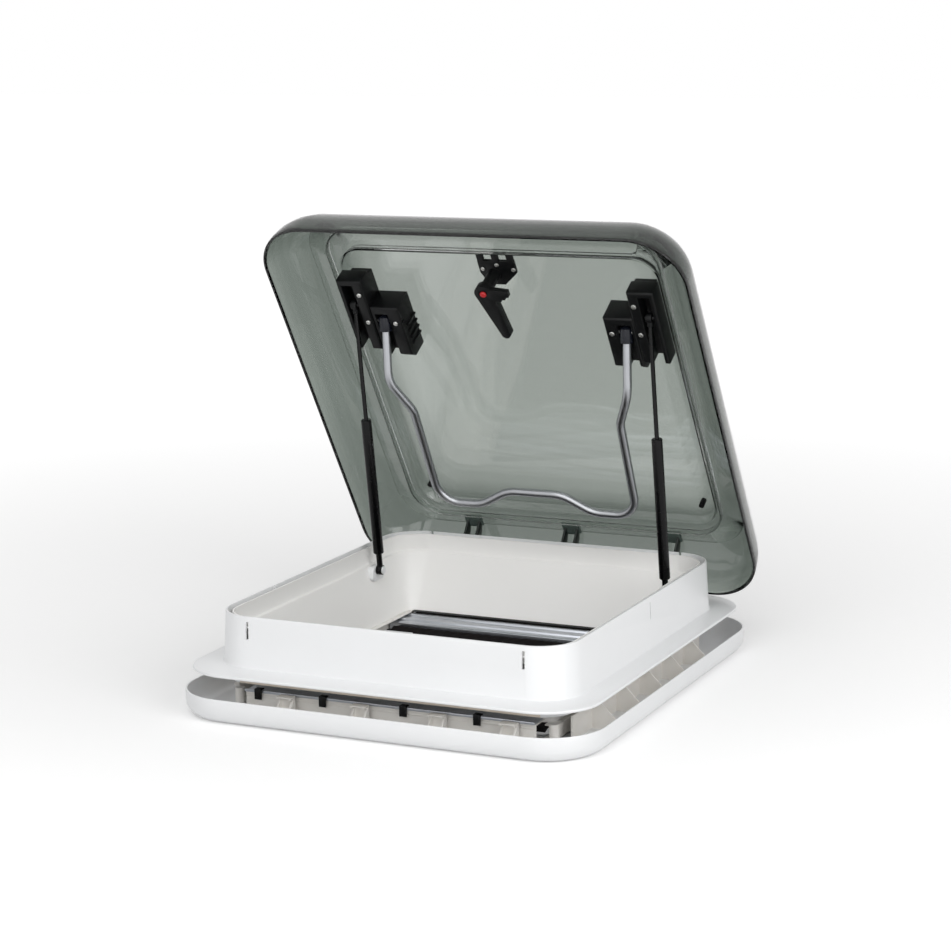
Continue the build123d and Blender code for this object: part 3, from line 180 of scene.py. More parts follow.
def ringStack(name, rings, closed=False, capped=(False, False), cornerSteps=10):
    # Rings of half width, half length, height and corner, in mm: each is a plane with bevelled corners.
    ringGap = 10 * mm                              # the rings stand apart while they are bridged
    pick()
    bpy.ops.mesh.primitive_plane_add(size=2)
    obj = bpy.context.object
    obj.name = name
    openMesh(obj)
    bpy.ops.mesh.select_mode(type="VERT")
    bmesh.from_edit_mesh(obj.data).verts.layers.int.new("ring")
    for number, (halfX, halfY, _, corner) in enumerate(rings):
        if number:
            bpy.ops.mesh.select_all(action="DESELECT")
            bpy.ops.mesh.primitive_plane_add(size=2)
        bpy.ops.transform.resize(value=(halfX * mm, halfY * mm, 1), center_override=(0, 0, 0))
        bpy.ops.transform.translate(value=(0, 0, number * ringGap))
        bpy.ops.mesh.bevel(offset=corner * mm, segments=cornerSteps, affect="VERTICES",
                           clamp_overlap=False)
        bm = bmesh.from_edit_mesh(obj.data)
        layer = bm.verts.layers.int["ring"]
        for vert in bm.verts:
            if vert.select:
                vert[layer] = number + 1
        bpy.ops.mesh.delete(type="ONLY_FACE")

    def chooseRings(kind, *numbers):               # the points or edges that lie in these rings
        ring = bmesh.from_edit_mesh(obj.data).verts.layers.int["ring"]
        if kind == "VERT":
            choose(kind, lambda vert: vert[ring] in numbers)
        else:
            choose(kind, lambda edge: edge.verts[0][ring] == edge.verts[1][ring]
                   and edge.verts[0][ring] in numbers)

    for number in range(1, len(rings)):
        chooseRings("EDGE", number, number + 1)
        bpy.ops.mesh.bridge_edge_loops()
    if closed:
        chooseRings("EDGE", len(rings), 1)
        bpy.ops.mesh.bridge_edge_loops()
    for wanted, number in ((capped[0], 1), (capped[1], len(rings))):
        if wanted:
            chooseRings("EDGE", number)
            bpy.ops.mesh.edge_face_add()
    for number, (_, _, height, _) in enumerate(rings):   # each ring goes to its own height
        chooseRings("VERT", number + 1)
        bpy.ops.transform.translate(value=(0, 0, height * mm - number * ringGap))
    tidyMesh()
    obj.data.attributes.remove(obj.data.attributes["ring"])
    return obj


def fromNode(node, name, width):                   # a merged, soft-edged copy of a CAD node
    source = frame["nodes"][node]
    obj = bpy.data.objects.new(name, source.data.copy())
    bpy.context.scene.collection.objects.link(obj)
    obj.data.materials.clear()
    openMesh(obj)
    bpy.ops.mesh.select_all(action="SELECT")
    bpy.ops.mesh.remove_doubles(threshold=mergeDistance)
    bpy.ops.mesh.dissolve_limited(angle_limit=math.radians(flatAngle))
    tidyMesh()
    softEdges(obj, width)
    smooth(obj)
    return obj


def islandCentres(node):                           # the middle of each separate solid in a CAD node
    bm = bmesh.new()
    bm.from_mesh(frame["nodes"][node].data)
    bmesh.ops.remove_doubles(bm, verts=bm.verts, dist=mergeDistance)
    seen, centres = set(), []
    for first in bm.verts:
        if first in seen:
            continue
        seen.add(first)
        group, waiting = [], [first]
        while waiting:
            vert = waiting.pop()
            group.append(vert.co.copy())
            for edge in vert.link_edges:
                other = edge.other_vert(vert)
                if other not in seen:
                    seen.add(other)
                    waiting.append(other)
        low = Vector([min(point[axis] for point in group) for axis in range(3)])
        high = Vector([max(point[axis] for point in group) for axis in range(3)])
        centres.append((low + high) / 2)
    bm.free()
    return centres


def secondFinish(obj, material, test):             # the faces that pass a test get another finish
    obj.data.materials.append(material)
    openMesh(obj)
    choose("FACE", test)
    obj.active_material_index = len(obj.data.materials) - 1
    bpy.ops.object.material_slot_assign()
    closeMesh()


def finishPiece(obj, material, body, slot, *nodes):   # None leaves out the material or the body
    if material:
        obj.data.materials.clear()
        obj.data.materials.append(material)
    if body:
        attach(obj, body)
    if nodes:
        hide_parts(*nodes)
    return obj


# The lid's place: its own frame runs across, along and up through the dome, turned about the hinge

lid = dict(open=57.5, hinge=(0, 311, 89), hingeAlong=627, hingeDepth=17,
           halfX=308.2, length=642.0, corner=75.0, depth=105.4, wall=3.5,
           shoulder=109.0, ease=2.2, straight=8.0, cornerShare=0.45,
           angles=(0, 10, 20, 30, 40, 50, 60, 70, 80, 90), cornerSteps=14, smoothAngle=40,
           edge=((0, 1.0), (0.4, 0.2), (1.0, 0.0), (2.5, 0.0), (3.2, 0.3), (3.5, 1.2)))
lidPlace = (Matrix.Translation(Vector(lid["hinge"]) * mm)
            @ Matrix.Rotation(math.radians(-lid["open"]), 4, "X")
            @ Matrix.Translation((0, -lid["hingeAlong"] * mm, -lid["hingeDepth"] * mm)))
intoLid = lidPlace.inverted()

# Materials


def linear(code):                                  # an sRGB hex colour as linear
    parts = [int(code[i:i + 2], 16) / 255 for i in (1, 3, 5)]
    return [p / 12.92 if p <= 0.04045 else ((p + 0.055) / 1.055) ** 2.4 for p in parts] + [1.0]


def addNode(tree, kind, settings=None, links=None):   # adds a node, sets it up and links its inputs
    node = tree.nodes.new(kind)
    for key, value in (settings or {}).items():
        if isinstance(key, int) or key in node.inputs:
            node.inputs[key].default_value = value
        else:
            setattr(node, key, value)
    for key, socket in (links or {}).items():
        tree.links.new(socket, node.inputs[key])
    return node


def newMaterial(name, coordinates="Object"):       # an empty material with its output and coordinates
    material = bpy.data.materials.new(name)
    material.use_nodes = True
    tree = material.node_tree
    tree.nodes.clear()
    out = addNode(tree, "ShaderNodeOutputMaterial")
    where = addNode(tree, "ShaderNodeTexCoord").outputs[coordinates]
    return material, tree, out, where


def perMillimetre(size):                           # texture scale for a feature of this size
    return 1 / (size * mm)


def noise(tree, where, size, detail):              # its features are this many mm across
    return addNode(tree, "ShaderNodeTexNoise", {"Scale": perMillimetre(size), "Detail": detail},
                   {"Vector": where}).outputs["Fac"]


def colourBetween(tree, first, second, share):
    return addNode(tree, "ShaderNodeMix", {"data_type": "RGBA", 6: linear(first), 7: linear(second)},
                   {0: share}).outputs[2]


def valueBetween(tree, low, high, share):
    return addNode(tree, "ShaderNodeMapRange", {"To Min": low, "To Max": high}, {"Value": share}).outputs[0]


def bumpFrom(tree, height, strength, depth):       # the depth is in mm
    return addNode(tree, "ShaderNodeBump", {"Strength": strength, "Distance": depth * mm},
                   {"Height": height}).outputs[0]


def mouldedPlastic(name, plastic):
    # Moulded plastic: even colour, faint flow marks, and the fine skin that the mould's grain leaves.
    material, tree, out, where = newMaterial(name)
    flow = noise(tree, where, plastic["flowSize"], detail=3.0)
    grain = noise(tree, where, plastic["grainSize"], detail=4.0)
    shader = addNode(tree, "ShaderNodeBsdfPrincipled",
                     {"IOR": plastic["ior"], "Specular IOR Level": plastic.get("specular", 0.5)},
                     {"Base Color": colourBetween(tree, plastic["colour"], plastic["flowColour"], flow),
                      "Roughness": valueBetween(tree, *plastic["roughness"], flow),
                      "Normal": bumpFrom(tree, grain, plastic["grainStrength"], plastic["grainDepth"])})
    tree.links.new(shader.outputs[0], out.inputs["Surface"])
    return material


def satinMetal(name, metal):
    # Drawn metal: fine lines along the run and a soft sheen, broken by faint handling marks.
    material, tree, out, where = newMaterial(name)
    lay = addNode(tree, "ShaderNodeMapping", {"Scale": metal["lineScale"]}, {"Vector": where})
    lines = noise(tree, lay.outputs[0], metal["lineSize"], detail=3.0)
    marks = noise(tree, where, metal["markSize"], detail=2.0)
    shader = addNode(tree, "ShaderNodeBsdfPrincipled", {"Metallic": 1.0},
                     {"Base Color": colourBetween(tree, metal["colour"], metal["markColour"], marks),
                      "Roughness": valueBetween(tree, *metal["roughness"], marks),
                      "Normal": bumpFrom(tree, lines, metal["lineStrength"], depth=0.05)})
    tree.links.new(shader.outputs[0], out.inputs["Surface"])
    return material


def smokedSheet(name, sheet):
    # Acrylic sheet: clear with a smoke tint that deepens with the length of the path through it.
    material, tree, out, where = newMaterial(name)
    wave = noise(tree, where, sheet["waveSize"], detail=1.0)
    dust = noise(tree, where, sheet["hazeSize"], detail=5.0)
    shader = addNode(tree, "ShaderNodeBsdfPrincipled",
                     {"Base Color": linear(sheet["surface"]), "Transmission Weight": 1.0,
                      "IOR": sheet["ior"]},
                     {"Roughness": valueBetween(tree, *sheet["roughness"], dust),
                      "Normal": bumpFrom(tree, wave, sheet["waveStrength"], depth=0.2)})
    tree.links.new(shader.outputs[0], out.inputs["Surface"])
    if sheet.get("bands"):                         # painted shade: the tint is darker on the shoulders than on the crown and the rim
        inLid = addNode(tree, "ShaderNodeMapping",
                        {"Location": intoLid.to_translation(), "Rotation": intoLid.to_euler()},
                        {"Vector": where})
        height = addNode(tree, "ShaderNodeSeparateXYZ", {}, {0: inLid.outputs[0]})
        share = addNode(tree, "ShaderNodeMapRange", {"From Max": lid["depth"] * mm},
                        {"Value": height.outputs["Z"]})
        band = addNode(tree, "ShaderNodeValToRGB", {}, {0: share.outputs[0]})
        stops = band.color_ramp.elements
        for number, (at, colour) in enumerate(sheet["bands"]):
            stop = stops[number] if number < 2 else stops.new(at)
            stop.position = at
            stop.color = linear(colour)
        tree.links.new(band.outputs[0], shader.inputs["Base Color"])
    if sheet.get("density"):
        depth = addNode(tree, "ShaderNodeVolumeAbsorption",
                        {"Color": sheet["absorb"], "Density": sheet["density"]})
        tree.links.new(depth.outputs[0], out.inputs["Volume"])
    return material


def wovenCloth(name, cloth):
    # Woven cloth: threads a fraction of a millimetre apart, drawn coarser so that they show, on a matt base.
    material, tree, out, where = newMaterial(name, "UV")
    width, length = cloth["flat"]
    laid = addNode(tree, "ShaderNodeMapping", {"Scale": (width * mm, length * mm, 1)}, {"Vector": where})
    threads = perMillimetre(cloth["thread"]) / (2 * math.pi)
    warp, weft = (addNode(tree, "ShaderNodeTexWave", {"Scale": threads, "bands_direction": way},
                          {"Vector": laid.outputs[0]}).outputs["Fac"] for way in ("X", "Y"))
    over = addNode(tree, "ShaderNodeMath", {"operation": "MULTIPLY"}, {0: warp, 1: weft}).outputs[0]
    shader = addNode(tree, "ShaderNodeBsdfPrincipled",
                     {"Roughness": cloth["roughness"], "Specular IOR Level": cloth["specular"],
                      "Sheen Weight": cloth["sheen"], "Sheen Roughness": 0.5},
                     {"Base Color": colourBetween(tree, cloth["gap"], cloth["colour"], over),
                      "Normal": bumpFrom(tree, over, strength=0.6, depth=0.2)})
    tree.links.new(shader.outputs[0], out.inputs["Surface"])
    return material


whitePlastic = mouldedPlastic("whiteAbsMoulded", dict(   # glossy ABS skin
    colour="#eff0f1", flowColour="#eaebec", flowSize=90, grainSize=1.4, grainStrength=0.06, grainDepth=0.05,
    roughness=(0.26, 0.36), ior=1.52))
whiteLining = mouldedPlastic("whiteVacuumFormedAbs", dict(   # the lining, flatter than the moulded frame
    colour="#fbfaf8", flowColour="#f7f6f3", flowSize=120, grainSize=1.0, grainStrength=0.08, grainDepth=0.05,
    roughness=(0.34, 0.44), ior=1.52))
whiteInner = mouldedPlastic("whitePolypropylene", dict(  # ribs and clamps, duller and creamier
    colour="#f6f4f0", flowColour="#efebe4", flowSize=30, grainSize=0.8, grainStrength=0.1, grainDepth=0.05,
    roughness=(0.42, 0.55), ior=1.49))
collarFoam = mouldedPlastic("taupeGasketFoam", dict(     # the foam band round the collar in the roof cut-out
    colour="#efe4d6", flowColour="#e4d8c8", flowSize=40, grainSize=1.0, grainStrength=0.2, grainDepth=0.1,
    roughness=(0.6, 0.75), ior=1.45))
blackNylon = mouldedPlastic("blackGlassFilledNylon", dict(   # matt, with the grain of the fill
    colour="#08090a", flowColour="#0e0f10", flowSize=18, grainSize=0.5, grainStrength=0.25, grainDepth=0.05,
    roughness=(0.36, 0.5), ior=1.53, specular=0.2))
capPlastic = mouldedPlastic("blueBlackAcetal", dict(     # the bow's caps, smoother and a shade blue
    colour="#11131b", flowColour="#171a24", flowSize=12, grainSize=0.6, grainStrength=0.08, grainDepth=0.04,
    roughness=(0.2, 0.3), ior=1.48, specular=0.35))
finPlastic = mouldedPlastic("smokedNylonFin", dict(      # the lid's hinge fins, a dark green-grey
    colour="#1b221f", flowColour="#222a26", flowSize=14, grainSize=0.5, grainStrength=0.1, grainDepth=0.04,
    roughness=(0.3, 0.42), ior=1.53, specular=0.3))
footPlastic = mouldedPlastic("smokedFootPad", dict(      # the hinge feet, bonded to the pane, near its tone
    colour="#5c6863", flowColour="#65716c", flowSize=14, grainSize=0.5, grainStrength=0.1, grainDepth=0.04,
    roughness=(0.3, 0.42), ior=1.5, specular=0.3))
redPlastic = mouldedPlastic("redPolycarbonate", dict(    # the release button
    colour="#c8141a", flowColour="#b31016", flowSize=6, grainSize=0.5, grainStrength=0.1, grainDepth=0.04,
    roughness=(0.28, 0.38), ior=1.58))
rubberLip = mouldedPlastic("blackEpdmRubber", dict(      # soft black lips
    colour="#101011", flowColour="#181818", flowSize=15, grainSize=0.6, grainStrength=0.2, grainDepth=0.05,
    roughness=(0.55, 0.7), ior=1.5))
blackPaint = mouldedPlastic("blackPaintedTube", dict(    # baked paint on the gas struts
    colour="#040405", flowColour="#070708", flowSize=25, grainSize=1.2, grainStrength=0.05, grainDepth=0.03,
    roughness=(0.22, 0.32), ior=1.52, specular=0.18))
satinAluminium = satinMetal("satinAnodisedAluminium", dict(   # bead-blasted then anodised tube
    colour="#abadb0", markColour="#9fa1a5", lineSize=0.8, lineScale=(1, 1, 0.2), markSize=22,
    lineStrength=0.12, roughness=(0.3, 0.4)))
railAluminium = satinMetal("brushedAluminiumSection", dict(   # extruded bars, drawn along x
    colour="#cdd0d6", markColour="#bcc0c7", lineSize=0.7, lineScale=(0.03, 1, 1), markSize=30,
    lineStrength=0.15, roughness=(0.26, 0.36)))
zincSteel = satinMetal("zincPlatedSteel", dict(          # bright plate on screws and pins
    colour="#d6d6d4", markColour="#bdbdb9", lineSize=0.5, lineScale=(1, 1, 1), markSize=3,
    lineStrength=0.1, roughness=(0.22, 0.34)))
smokedAcrylic = smokedSheet("smokedAcrylic", dict(       # the outer dome, a deep grey-green smoke, with painted shade on its shoulders
    surface="#ffffff", ior=1.49, waveSize=160, waveStrength=0.08, hazeSize=7, roughness=(0.0, 0.03),
    absorb=(0.08, 0.16, 0.09, 1), density=262.0,
    bands=((0.0, "#e6e8e7"), (0.3, "#c2c6c4"), (0.9, "#b6bab8"), (0.985, "#ffffff"))))
paneAcrylic = smokedSheet("clearAcrylicPane", dict(      # the inner pane, hardly tinted
    surface="#ffffff", ior=1.49, waveSize=120, waveStrength=0.06, hazeSize=6, roughness=(0.0, 0.02),
    absorb=(0.3, 0.5, 0.35, 1), density=6.0))
clearSilicone = smokedSheet("clearSiliconeSeal", dict(   # the extruded seal on the pane
    surface="#e4e8e5", ior=1.41, waveSize=12, waveStrength=0.2, hazeSize=3, roughness=(0.12, 0.25)))
screenCloth = wovenCloth("flyscreenMesh", dict(          # black-brown glass-fibre net
    flat=(410, 427), thread=1.6, colour="#171010", gap="#070505", roughness=0.85, specular=0.1, sheen=0.05))
blindCloth = wovenCloth("blackoutPolyester", dict(       # coated polyester, warm grey
    flat=(410, 418), thread=1.2, colour="#5a5653", gap="#4a4744", roughness=0.85, specular=0.1, sheen=0.3))
print("materials made")

# Upstand frame

upstand = dict(halfWidth=250.0, halfLength=274.5, rim=133.5, wall=3.0, draft=2.3, corner=54.0, cornerSteps=12,
               flangeX=285.0, flangeY=316.5, flangeBottom=60.0, flangeTop=64.5, flangeCorner=72.0,
               collarX=243.0, collarY=268.0, collarBottom=42.0, collarCorner=40.0,
               under=((1.4, 0), (0.4, 0.5), (0, 1.4)),   # insets and rises from the flange's underside
               over=((0, -1.6), (0.5, -0.6), (1.6, -0.2), (9.0, -0.2), (9.8, 0)),   # and from its top
               fillet=((5.0, 0, 58.0), (1.6, 0.9, 55.4), (0, 4.0, 54.0)),   # growth, rise and corner
               rimEdge=((-1.1, 0), (-0.3, 0.35), (0, 1.0)),   # drops and insets at the rim
               rimChamfer=0.5,
               foamTop=59.5, foamX=241.5, foamY=266.5,
               slots=(((-196.9, -280, 103.5), (-193.1, -268, 126.5)),
                      ((193.1, -280, 103.5), (196.9, -268, 126.5)),
                      ((246, 11.0, 103.5), (256, 13.6, 126.5)), ((-256, -111, 126), (-246, -107, 135)),
                      ((-197, 268, 127), (-193, 280, 135)), ((193, 268, 127), (197, 280, 135))))
draftSlope = math.tan(math.radians(upstand["draft"]))


def wallRing(height, inset=0.0):                   # a ring on the upstand's drafted wall
    grow = (upstand["rim"] - height) * draftSlope - inset
    return (upstand["halfWidth"] + grow, upstand["halfLength"] + grow, height, upstand["corner"] - inset)


def flangeRing(inset, height):
    return (upstand["flangeX"] - inset, upstand["flangeY"] - inset, height, upstand["flangeCorner"] - inset)


def collarRing(height, inset=0.0):
    return (upstand["collarX"] - inset, upstand["collarY"] - inset, height, upstand["collarCorner"] - inset)


top, bottom, rim, wall = upstand["flangeTop"], upstand["flangeBottom"], upstand["rim"], upstand["wall"]
footX, footY = wallRing(top)[:2]
chamfer = upstand["rimChamfer"]
upstandShell = ringStack(
    "upstandShell",
    [collarRing(upstand["collarBottom"]), collarRing(bottom)]
    + [flangeRing(inset, bottom + rise) for inset, rise in upstand["under"]]
    + [flangeRing(inset, top + rise) for inset, rise in upstand["over"]]
    + [(footX + grow, footY + grow, top + rise, corner) for grow, rise, corner in upstand["fillet"]]
    + [wallRing(rim + drop, inset) for drop, inset in upstand["rimEdge"]]
    + [wallRing(rim, wall - chamfer), wallRing(rim - chamfer, wall), wallRing(top, wall),
       collarRing(top, wall), collarRing(upstand["collarBottom"], wall)],
    closed=True, cornerSteps=upstand["cornerSteps"])
for low, high in upstand["slots"]:
    cutAway(upstandShell, block("slotCutter", low, high))
smooth(upstandShell)
finishPiece(upstandShell, whitePlastic, "frame", "white_plastic", "upstand_frame")


def onCollar(face):                                # the collar's outer faces, under the flange
    middle = face.calc_center_median()
    beyond = abs(middle.x) > upstand["foamX"] * mm or abs(middle.y) > upstand["foamY"] * mm
    return middle.z < upstand["foamTop"] * mm and beyond


secondFinish(upstandShell, collarFoam, onCollar)
print("upstand frame done")

# Shaft lining: half width, half length, height and corner of each ring

lining = dict(cornerSteps=12, rings=[
    (242.0, 266.5, 130.6, 48.3), (242.0, 266.5, 119.5, 48.3), (247.2, 271.7, 119.5, 51),
    (247.2, 271.7, 117.5, 51), (242.0, 266.5, 117.5, 48.3), (242.0, 266.5, 107.5, 48.3),
    (237.2, 261.7, 104.5, 48.3), (216.0, 229.5, 24.0, 18.3), (213.7, 227.2, 24.0, 16.0),
    (234.7, 259.2, 104.0, 46.0), (235.4, 259.9, 105.4, 46.0), (239.0, 263.4, 106.8, 46.0),
    (239.7, 264.2, 108.0, 46.0), (239.7, 264.2, 130.4, 46.0), (240.4, 264.9, 131.0, 46.8),
    (241.4, 265.9, 131.0, 47.8)])
liningShell = ringStack("shaftLiningShell", lining["rings"], closed=True,
                        cornerSteps=lining["cornerSteps"])
smooth(liningShell)
finishPiece(liningShell, whiteLining, "frame", "white_plastic", "shaft_lining")
print("lining done")

# Ceiling tray

tray = dict(halfX=294.3, halfY=326.8, corner=78.0, rounding=20.0, wall=2.8, cornerSteps=12,
            outerAngles=(0, 15, 30, 45, 60, 75, 90), innerAngles=(90, 70, 50, 30, 0),
            lip=((0, 33.0), (0.4, 33.7), (1.2, 34.0), (1.8, 34.0), (2.6, 33.5)),
            mouth=((203.7, 222.2, 0.4, 13.6), (204.3, 222.8, 0.0, 14.2)),
            mouthRim=((206.1, 224.6, 2.8, 16.0), (206.1, 224.6, 5.0, 16.0), (203.7, 222.2, 5.0, 13.6)),
            floorTop=1.6, wallX=237.5, sideWall=2.5, sideLength=228, sideTop=36.0,
            gusset=2.0, pitch=82.0, gussetRoot=1, gussetReach=46.0, gussetFoot=42.0, gussetHeel=6.0,
            gussetSlope=43.0, gussetUndercut=(1.0, -0.9), bossRadius=6.5, bossTop=30.0,
            bosses=((224, 249), (229.5, 0)))


def trayRing(inset, height):
    return (tray["halfX"] - inset, tray["halfY"] - inset, height, tray["corner"] - inset)


def trayBand(angle, skin):                         # the quarter-round edge, outside or a wall further in
    turn = math.radians(angle)
    radius = tray["rounding"] - skin
    return trayRing(skin + radius * (1 - math.sin(turn)), skin + radius * (1 - math.cos(turn)))


trayShell = ringStack(
    "trayShell",
    [*tray["mouth"], *(trayBand(angle, 0) for angle in tray["outerAngles"]),
     *(trayRing(inset, height) for inset, height in tray["lip"]),
     *(trayBand(angle, tray["wall"]) for angle in tray["innerAngles"]), *tray["mouthRim"]],
    closed=True, cornerSteps=tray["cornerSteps"])
trayShell.data.materials.append(whitePlastic)
trayParts = []
for side in (-1, 1):
    wallX, floorTop, wallTop = tray["wallX"], tray["floorTop"], tray["sideTop"]
    trayParts.append(block("sideWall", (side * wallX, -tray["sideLength"], floorTop),
                           (side * (wallX + tray["sideWall"]), tray["sideLength"], wallTop)))
    for number in range(-2, 3):                    # five gussets on each side wall
        at = number * tray["pitch"]
        gusset = block("gusset", (side * (wallX + tray["gussetRoot"]), at - tray["gusset"] / 2, floorTop),
                       (side * (wallX + tray["gussetReach"]), at + tray["gusset"] / 2, wallTop))
        sliceOff(gusset, (side * (wallX + tray["gussetReach"]), at, tray["gussetHeel"]),
                 (side * (wallTop - tray["gussetHeel"]), 0, tray["gussetSlope"]))
        sideways, downwards = tray["gussetUndercut"]
        sliceOff(gusset, (side * (wallX + tray["gussetFoot"]), at, floorTop), (side * sideways, 0, downwards))
        trayParts.append(gusset)
    for bossX, bossY in tray["bosses"]:
        for along in ((-1, 1) if bossY else (1,)):
            trayParts.append(rod("boss", (side * bossX, along * bossY, floorTop),
                                 (side * bossX, along * bossY, tray["bossTop"]), tray["bossRadius"]))
for part in trayParts:
    part.data.materials.append(whiteInner)
trayShell = joined("trayShell", trayShell, *trayParts)
smooth(trayShell)
finishPiece(trayShell, None, "frame", "white_plastic", "ceiling_tray")
print("ceiling tray done")

# Lid dome, pane and seal


def domeRings(skin):                               # sections of the dome's outside, or a wall further in
    rings = []
    crown = lid["depth"] - skin
    for angle in lid["angles"]:
        turn = math.radians(angle)
        inset = lid["shoulder"] * (1 - math.cos(turn)) + lid["ease"] * math.sin(turn) + skin
        height = lid["straight"] + (crown - lid["straight"]) * math.sin(turn)
        rings.append((lid["halfX"] - inset, lid["length"] / 2 - inset, height,
                      lid["corner"] - lid["cornerShare"] * inset))
    return rings


def edgeRing(inset, height):
    return (lid["halfX"] - inset, lid["length"] / 2 - inset, height, lid["corner"] - inset)


lidMiddle = Matrix.Translation((0, lid["length"] / 2 * mm, 0))
dome = ringStack("smokedDome", domeRings(0)[::-1] + [edgeRing(inset, height) for inset, height in lid["edge"]]
                 + domeRings(lid["wall"]), capped=(True, True), cornerSteps=lid["cornerSteps"])
place(dome, lidPlace @ lidMiddle)
smooth(dome, lid["smoothAngle"])
finishPiece(dome, smokedAcrylic, "lid", "smoked_acrylic", "lid_dome")

inner = dict(hole=(237.0, 244.0, 70.0, 37.0), holeBack=(239.0, 246.0, 73.0, 39.0), holeX=240, holeY=247,
             flange=((273.3, 286.1, 70.0, 58.0), (274.1, 286.9, 70.8, 58.0), (274.1, 286.9, 72.4, 58.0),
                     (273.5, 286.3, 73.0, 58.0)),
             panel=((234.6, 241.6, 70.9, 35.0), (233.6, 240.6, 72.6, 34.0), (230.8, 237.8, 82.4, 31.0),
                    (229.4, 236.4, 83.6, 30.0), (227.0, 234.0, 84.0, 28.0)),
             panelBack=((236.6, 243.6, 74.2, 37.0), (233.8, 240.8, 85.0, 34.0), (232.4, 239.4, 86.6, 32.6),
                        (230.0, 237.0, 87.0, 31.0)),
             panelShift=10.0, cornerSteps=12)
paneFlange = ringStack("paneFlange", [inner["hole"], *inner["flange"], inner["holeBack"]],
                       cornerSteps=inner["cornerSteps"])
panePanel = ringStack("panePanel", [inner["hole"], *inner["panel"]], capped=(False, True),
                      cornerSteps=inner["cornerSteps"])
panelBack = ringStack("panelBack", [inner["holeBack"], *inner["panelBack"]], capped=(False, True),
                      cornerSteps=inner["cornerSteps"])
panelShift = Vector((0, inner["panelShift"] * mm, 0))
for part in (panePanel, panelBack):
    place(part, Matrix.Translation(panelShift))
openMesh(paneFlange)                               # the flange's hole moves with the panel
choose("VERT", lambda vert: abs(vert.co.x) < inner["holeX"] * mm and abs(vert.co.y) < inner["holeY"] * mm)
bpy.ops.transform.translate(value=panelShift)
closeMesh()
pane = joined("smokedPane", paneFlange, panePanel, panelBack)
openMesh(pane)
tidyMesh()
place(pane, lidPlace @ lidMiddle)
smooth(pane, lid["smoothAngle"])
finishPiece(pane, paneAcrylic, "lid", "smoked_acrylic", "lid_pane")

rimSeal = dict(along=316.0, rings=[
    (244.5, 269.0, 59.6, 47.0), (245.7, 270.2, 61.0, 48.4), (246.0, 270.5, 69.7, 49.0),
    (243.0, 267.5, 69.7, 46.0), (243.3, 267.8, 61.0, 46.4)])
seal = ringStack("clearSeal", rimSeal["rings"], closed=True)
place(seal, lidPlace @ Matrix.Translation((0, rimSeal["along"] * mm, 0)))
smooth(seal)
finishPiece(seal, clearSilicone, "lid", "clear_seal", "lid_seal")
print("lid shells done")

# Bow: places across, down the bow and towards the room, with each bend's radius

bow = dict(radius=6.0, swing=13.4, across=181.0, start=5.0, pivotAlong=196.5, pivotDepth=50.0, stepAngle=6.0,
           smoothAngle=60,
           bends=((180.0, 84.0, 24.0, 42.0), (157.0, 136.0, 10.0, 40.0), (153.0, 297.0, -12.0, 34.0),
                  (86.0, 296.0, -12.0, 52.0), (42.0, 271.0, -12.0, 52.0)))
bowPivot = lidPlace @ Vector((0, bow["pivotAlong"] * mm, bow["pivotDepth"] * mm))
bowPlace = Matrix.Translation(bowPivot) @ Matrix.Rotation(math.radians(-lid["open"] - bow["swing"]), 4, "X")


def bentTube(name, points, radii, radius, sides=24):   # straights are extruded and bends are spun
    points = [Vector(point) * mm for point in points]
    pick()
    turn = (points[1] - points[0]).to_track_quat("Z", "X").to_euler()
    bpy.ops.mesh.primitive_circle_add(vertices=sides, radius=radius * mm, location=points[0], rotation=turn)
    obj = bpy.context.object
    obj.name = name
    place(obj, obj.matrix_world.copy())
    openMesh(obj)
    bpy.ops.mesh.select_all(action="SELECT")
    here = points[0]
    for number, bendRadius in enumerate(radii):
        corner, after = points[number + 1], points[number + 2]
        comingIn, goingOut = (corner - points[number]).normalized(), (after - corner).normalized()
        angle = comingIn.angle(goingOut)
        tangent = bendRadius * mm * math.tan(angle / 2)
        begin = corner - comingIn * tangent
        bpy.ops.mesh.extrude_region_move(TRANSFORM_OT_translate={"value": begin - here})
        axis = comingIn.cross(goingOut).normalized()
        centre = begin + axis.cross(comingIn) * bendRadius * mm
        steps = max(3, round(math.degrees(angle) / bow["stepAngle"]))
        bpy.ops.mesh.spin(steps=steps, angle=angle, center=centre, axis=-axis)   # spin turns clockwise
        here = corner + goingOut * tangent
    bpy.ops.mesh.extrude_region_move(TRANSFORM_OT_translate={"value": points[-1] - here})
    choose("EDGE", lambda edge: edge.is_boundary)  # both ends are closed
    bpy.ops.mesh.edge_face_add()
    tidyMesh()
    return obj


bowHalf = [(bend[0], bend[1], -bend[2]) for bend in bow["bends"]]
bowRoute = [(-bow["across"], bow["start"], 0.0)] + [(-x, down, room) for x, down, room in bowHalf]
bowRoute += bowHalf[::-1] + [(bow["across"], bow["start"], 0.0)]
bowRadii = [bend[3] for bend in bow["bends"]]
bowTube = bentTube("bowTube", bowRoute, bowRadii + bowRadii[::-1], bow["radius"])
place(bowTube, bowPlace)
smooth(bowTube, bow["smoothAngle"])
finishPiece(bowTube, satinAluminium, "bow", "satin_aluminium", "bow_tube")
print("bow done")

# Pieces copied from the frame, with soft edges: node, piece, material, body, slot and edge in mm

